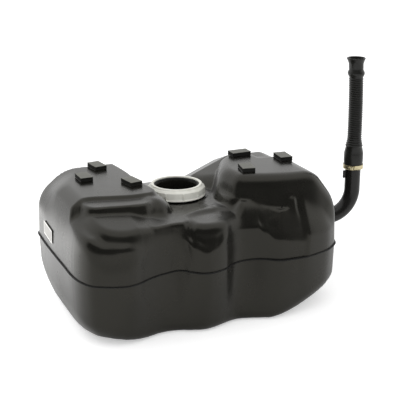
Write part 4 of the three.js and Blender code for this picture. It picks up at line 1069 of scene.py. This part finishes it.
def drawn(bm, loop, vec, steps):
    """Extrudes an open loop of edges along a straight line, and gives the loop at its end."""
    for _ in range(steps):
        made = bmesh.ops.extrude_edge_only(bm, edges=loop)["geom"]
        ends = {item for item in made if isinstance(item, bmesh.types.BMVert)}
        edges = [item for item in made if isinstance(item, bmesh.types.BMEdge)]
        loop = [edge for edge in edges if ends.issuperset(edge.verts)]
        bmesh.ops.translate(bm, vec=Vector(vec) / steps, verts=list(ends))
    return loop


foot_end = drawn(pipe, pipe.edges[:], (bend_start - pipe_low.x, 0, 0), 2)
bend = bmesh.ops.spin(
    pipe, geom=[*{vert for edge in foot_end for vert in edge.verts}, *foot_end], steps=bend_steps,
    angle=quarter_turn, cent=(bend_start, filler_axis.y, filler_axis.z + bend_radius), axis=(0, -1, 0),
)["geom_last"]
bend_end = [item for item in bend if isinstance(item, bmesh.types.BMEdge)]
drawn(pipe, bend_end, (0, 0, pipe_high.z - filler_axis.z - bend_radius), 4)
bmesh.ops.recalc_face_normals(pipe, faces=pipe.faces)
pipe_black = (0.006, 0.006, 0.005)
pipe_dusty = (0.014, 0.013, 0.012)
pipe_finish = Finish("pipe_rubber")
pipe_streak = pipe_finish.noise(scale=30, detail=4, stretch=(1, 1, 0.25))
pipe_grain = pipe_finish.noise(scale=800, detail=2)
pipe_finish.wear(
    base_color=pipe_finish.blend(pipe_streak, pipe_black, pipe_dusty),
    roughness=0.20 + 0.16 * pipe_streak,
    normal=pipe_finish.bump(pipe_grain + pipe_streak, strength=0.15, distance=0.0003),
)
pipe_finish.surface.inputs["Specular IOR Level"].default_value = 0.36
elbow = smooth_piece("elbow_tube", pipe, pipe_finish, "root", ["elbow_pipe"])
wall = elbow.modifiers.new("wall", "SOLIDIFY")
wall.thickness = pipe_outer - pipe_bore
wall.offset = -1
fin_size = (0.009, 0.003, 0.020)
fin = cushioned_block(fin_size, softness=0.0008)
fin_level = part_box("filler_hose")[0].z - 0.0135
moved(fin, Matrix.Translation((riser_x - pipe_outer - fin_size[0] / 2, filler_axis.y, fin_level)))
smooth_piece("elbow_fin", fin, pipe_finish, "root")


# Filler hose: ribbed rubber, stiff enough to stand by itself. A plain cuff grips the riser, ribs let
# it bend, and a collar and a flared rim meet the filler neck. It leans a little at the top.
hose_low, hose_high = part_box("filler_hose")
rib_count = 31
rib_pitch = 0.00575
rib_crest = 0.0186
rib_depth = 0.0021
hose_bore = 0.0144
hose_lean = 0.006
cuff_outer = 0.0246
cuff_bore = 0.0221
rib_low = flange_level + 0.210
taper_low = flange_level + 0.196
taper_high = flange_level + 0.236
rib_high = rib_low + rib_count * rib_pitch


def tube_radius(z):
    """The crest radius: the cuff tapers smoothly into the ribbed length."""
    s = min(1, max(0, (z - taper_low) / (taper_high - taper_low)))
    return cuff_outer + (rib_crest - cuff_outer) * s * s * (3 - 2 * s)


hose_profile = [
    (cuff_bore, hose_low.z), (cuff_outer - 0.0006, hose_low.z), (cuff_outer, hose_low.z + 0.0008),
    (cuff_outer, hose_low.z + 0.0015), (cuff_outer - 0.0003, hose_low.z + 0.016),
    (cuff_outer + 0.0002, hose_low.z + 0.022), (cuff_outer, taper_low - 0.003),
]
rib_samples = 8
rib_fullness = 0.7
for k in range(rib_count * rib_samples):
    z = rib_low + rib_pitch * k / rib_samples
    wave = (0.5 - 0.5 * math.cos(full_turn * k / rib_samples)) ** rib_fullness
    hose_profile.append((tube_radius(z) - rib_depth * (1 - wave), z))
neck_radius = 0.0182
collar_radius = 0.0216
collar_low = rib_high + 0.005
collar_high = collar_low + 0.014
collar_ease = 0.002
collar_steps = 12
collar_fullness = 1.2
neck_foot = (neck_radius - 0.0008, rib_high + 0.001)
hose_profile.append(neck_foot)
for k in range(collar_steps + 1):
    swell = math.sin(math.pi * k / collar_steps) ** collar_fullness
    z = collar_low - collar_ease + (collar_high - collar_low + 2 * collar_ease) * k / collar_steps
    hose_profile.append((neck_radius + (collar_radius - neck_radius) * swell, z))
rim_low = hose_high.z - 0.012
rim_radius = 0.0236
rim_profile = [
    (neck_radius + 0.0002, collar_high + 0.006), (neck_radius + 0.0004, rim_low - 0.003),
    (neck_radius + 0.0016, rim_low + 0.001), (rim_radius - 0.0014, hose_high.z - 0.0045),
    (rim_radius, hose_high.z - 0.0026), (rim_radius, hose_high.z - 0.0008),
    (rim_radius - 0.0008, hose_high.z), (rim_radius - 0.0026, hose_high.z - 0.0002),
]
bore_profile = [
    (0.0190, rim_low + 0.003), (0.0168, rim_low - 0.006), (hose_bore + 0.001, collar_high),
    (hose_bore, rib_high), (hose_bore, pipe_high.z + 0.002), (cuff_bore - 0.001, pipe_high.z + seat_gap),
    (cuff_bore, pipe_high.z - 0.001),
]
hose = turned(hose_profile + rim_profile + bore_profile, pipe_sides)
lean_start = rib_low + 2 * rib_crest
for vert in hose.verts:
    rise = max(0, vert.co.z - lean_start) / (hose_high.z - lean_start)
    vert.co.x -= hose_lean * rise**2
at_riser = Matrix.Translation((riser_x, filler_axis.y, 0))
hose_black = (0.007, 0.007, 0.006)
hose_dusty = (0.016, 0.016, 0.014)
hose_finish = Finish("hose_rubber")
hose_bloom = hose_finish.noise(scale=45, detail=4)
hose_grain = hose_finish.noise(scale=900, detail=2)
hose_finish.wear(
    base_color=hose_finish.blend(hose_bloom, hose_black, hose_dusty),
    roughness=0.20 + 0.18 * hose_bloom,
    normal=hose_finish.bump(hose_grain, strength=0.2, distance=0.0002),
)
hose_finish.surface.inputs["Specular IOR Level"].default_value = 0.36
smooth_piece(
    "ribbed_hose", moved(hose, at_riser), hose_finish, "root", ["filler_hose"],
    sharp_degrees=70,
)


# Worm-drive clamps: a zinc-plated steel band, a pressed housing and a hexagon screw, one on the hose
# cuff and one on the elbow's foot. The screws turn.
zinc_bright = (0.80, 0.74, 0.52)
zinc_yellow = (0.62, 0.52, 0.28)
zinc_finish = Finish("yellow_zinc")
zinc_bloom = zinc_finish.noise(scale=240, detail=4)
zinc_brush = zinc_finish.noise(scale=500, detail=2, stretch=(1, 1, 6))
zinc_finish.wear(
    base_color=zinc_finish.blend(zinc_bloom, zinc_bright, zinc_yellow),
    roughness=0.26 + 0.22 * zinc_bloom,
    normal=zinc_finish.bump(zinc_brush, strength=0.2, distance=0.0001),
)
zinc_finish.surface.inputs["Metallic"].default_value = 1
clamp_places = {"hose": (cuff_outer, -129, "Z"), "elbow": (pipe_outer, -90, "Y")}
band_thickness = 0.0008
band_half = 0.0055
band_bead = 0.0006
bead_width = 0.0012
band_clearance = 0.0002
housing_size = (0.006, 0.011, 0.011)
housing_taper = 0.28
# Radius, start, end and sides of the screw's shank, its hexagon head and the washer under it
screw_parts = ((0.0022, -0.0085, 0.0060, 20), (0.0036, 0.0058, 0.0098, 6), (0.0044, 0.0058, 0.0066, 24))
screw_softness = 0.0003
sharp_turn = 0.8
for clamp, (grip, degrees, axis) in clamp_places.items():
    low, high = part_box(clamp + "_clamp_band")
    place = Matrix.Translation((low + high) / 2) @ Matrix.Rotation(math.radians(degrees), 4, axis)
    inner = grip + seat_gap
    outer = inner + band_thickness
    band = turned(softened([
        (inner + band_clearance, -band_half), (outer + band_bead, -band_half),
        (outer, -band_half + bead_width), (outer, band_half - bead_width),
        (outer + band_bead, band_half), (inner + band_clearance, band_half), (inner, 0),
    ], radius=0.0004), steps=96)
    smooth_piece(
        clamp + "_band", moved(band, place), zinc_finish, "root", [clamp + "_clamp_band"]
    )
    housing = cushioned_block(housing_size, softness=0.0014, cuts=2)
    for vert in housing.verts:
        if vert.co.x > 0:
            vert.co.z *= 1 - housing_taper * vert.co.x / (housing_size[0] / 2)
    middle = outer + seat_gap + housing_size[0] / 2
    moved(housing, place @ Matrix.Translation((middle, 0, 0)))
    smooth_piece(
        clamp + "_housing", housing, zinc_finish, "root", [clamp + "_clamp_housing"]
    )
    screw = bmesh.new()
    for radius, start, end, sides in screw_parts:
        bmesh.ops.create_cone(
            screw, cap_ends=True, segments=sides, radius1=radius, radius2=radius, depth=end - start,
            matrix=Matrix.Translation((0, 0, (start + end) / 2)),
        )
    sharp = [edge for edge in screw.edges if edge.calc_face_angle(0) > sharp_turn]
    bmesh.ops.bevel(
        screw, geom=sharp, offset=screw_softness, segments=2, profile=0.5, affect="EDGES", material=-1
    )
    upright = Matrix.Translation((middle, 0, 0)) @ Matrix.Rotation(-quarter_turn, 4, "X")
    smooth_piece(
        clamp + "_screw", moved(screw, place @ upright), zinc_finish, clamp + "_screw",
        [clamp + "_clamp_screw"], sharp_degrees=30,
    )


# Inner valves: natural white mouldings inside the tank, with steel pins and springs. The inlet flap
# stops fuel running back up the filler, and the float shuts the vent when the tank tips.
valve_white = (0.70, 0.70, 0.66)
valve_yellowed = (0.55, 0.54, 0.48)
valve_finish = Finish("valve_moulding")
valve_cloud = valve_finish.noise(scale=60, detail=3)
valve_grain = valve_finish.noise(scale=500, detail=2)
valve_finish.wear(
    base_color=valve_finish.blend(valve_cloud, valve_white, valve_yellowed),
    roughness=0.4 + 0.15 * valve_cloud,
    normal=valve_finish.bump(valve_grain, strength=0.1, distance=0.0002),
)
steel_bright = (0.60, 0.60, 0.59)
steel_dull = (0.45, 0.45, 0.44)
steel_finish = Finish("drawn_steel")
steel_draw = steel_finish.noise(scale=400, detail=3, stretch=(1, 1, 0.2))
steel_finish.wear(
    base_color=steel_finish.blend(steel_draw, steel_bright, steel_dull),
    roughness=0.22 + 0.16 * steel_draw,
    normal=steel_finish.bump(steel_draw, strength=0.1, distance=0.0001),
)
steel_finish.surface.inputs["Metallic"].default_value = 1
for finish, nodes in (
    (valve_finish, ("inlet_valve_sleeve", "inlet_flap", "vent_valve_cup", "vent_float", "vent_cap")),
    (steel_finish, ("flap_pin",)),
):
    for node in nodes:
        for material_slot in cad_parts[node].material_slots:
            material_slot.material = finish.material
# For each spring: its piece, its node, radius, wire, turns, and whether it lies across the tank
springs = (
    ("flap_coil", "flap_spring", 0.00225, 0.0009, 4, True),
    ("float_coil", "vent_spring", 0.012, 0.001, 3, False),
)
wire_sides = 10
for name, node, radius, wire, turns, lies_across in springs:
    low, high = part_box(node)
    length = (high.y - low.y if lies_across else high.z - low.z) - wire
    angles = [full_turn * k / wire_sides for k in range(wire_sides)]
    section = [(radius + wire / 2 * math.cos(angle), wire / 2 * math.sin(angle)) for angle in angles]
    spring = bmesh.new()
    wound(spring, section, turns, length, steps_per_turn=32)
    bmesh.ops.translate(spring, vec=(0, 0, -length / 2), verts=spring.verts)
    place = Matrix.Translation((low + high) / 2)
    if lies_across:
        place = place @ Matrix.Rotation(-quarter_turn, 4, "X")
    smooth_piece(name, moved(spring, place), steel_finish, "root", [node])


# Floor and studio: a pale floor and an even white surround. The side behind the camera is dimmer, as a
# room behind a photographer is, and that gives the glossy plastic its dark bands.
floor_reach = 8
floor_grey = (0.86, 0.86, 0.86, 1)
floor_drop = 0.0005
direct_lift = 0.42
gloss_lift = 0.06
floor_mesh = bmesh.new()
bmesh.ops.create_grid(floor_mesh, x_segments=1, y_segments=1, size=floor_reach)
floor_finish = Finish("pale_floor")
seen_direct = floor_finish.node("ShaderNodeLightPath", output="Is Camera Ray")
seen_gloss = floor_finish.node("ShaderNodeLightPath", output="Is Glossy Ray")
lift = direct_lift * seen_direct + gloss_lift * seen_gloss
floor_finish.wear(
    base_color=floor_grey, roughness=0.9,
    emission_color=floor_finish.blend(lift, (0, 0, 0), (1, 1, 1)),
)
floor_finish.surface.inputs["Emission Strength"].default_value = 1
floor_finish.surface.inputs["Specular IOR Level"].default_value = 0
floor_data = bpy.data.meshes.new("floor")
floor_mesh.to_mesh(floor_data)
floor_mesh.free()
floor_data.materials.append(floor_finish.material)
floor = bpy.data.objects.new("floor", floor_data)
floor.location.z = -floor_drop
bpy.context.scene.collection.objects.link(floor)

world = bpy.data.worlds.new("studio")
bpy.context.scene.world = world
world.use_nodes = True


class Surround(Finish):
    """The world's nodes, worked like a material's."""

    def __init__(self):
        self.tree = world.node_tree
        self.surface = self.tree.nodes["Background"]


surround = Surround()
dim_side = (-0.38, -0.925, 0)
toward = surround.node("ShaderNodeTexCoord", output="Generated")
front = surround.node(
    "ShaderNodeVectorMath", {"operation": "DOT_PRODUCT"}, {0: toward, 1: dim_side}, output="Value"
)
height = surround.node("ShaderNodeSeparateXYZ", None, {0: toward}, output="Z")


def eased(value, low, high):
    """A share that eases from 0 to 1 between two values."""
    return surround.node(
        "ShaderNodeMapRange", {"interpolation_type": "SMOOTHSTEP"},
        {"Value": value, "From Min": low, "From Max": high},
    )


plain_level = 1.05
mirror_lift = 0.06
dimming = 1.04
dim = eased(front, low=0.0, high=0.45) * (1 - eased(height, low=0.72, high=0.92))
mirrored = surround.node("ShaderNodeLightPath", output="Is Glossy Ray")
seen = surround.node("ShaderNodeLightPath", output="Is Camera Ray")
strength = seen + (1 - seen) * (plain_level + mirrored * (mirror_lift - dimming * dim))
surround.feed(surround.surface.inputs["Color"], (1, 1, 1, 1))
surround.feed(surround.surface.inputs["Strength"], strength)

# Panel over the floor behind the left end: the left wall mirrors the floor that it lights.
lamp_data = bpy.data.lights.new("floor_panel", "AREA")
lamp_data.size = 0.8
lamp_data.energy = 6.5
lamp = bpy.data.objects.new("floor_panel", lamp_data)
lamp.location = (-0.85, 0.70, 0.45)
lamp.visible_camera = False
lamp.visible_glossy = False
bpy.context.scene.collection.objects.link(lamp)

bpy.context.scene.view_settings.view_transform = "Standard"
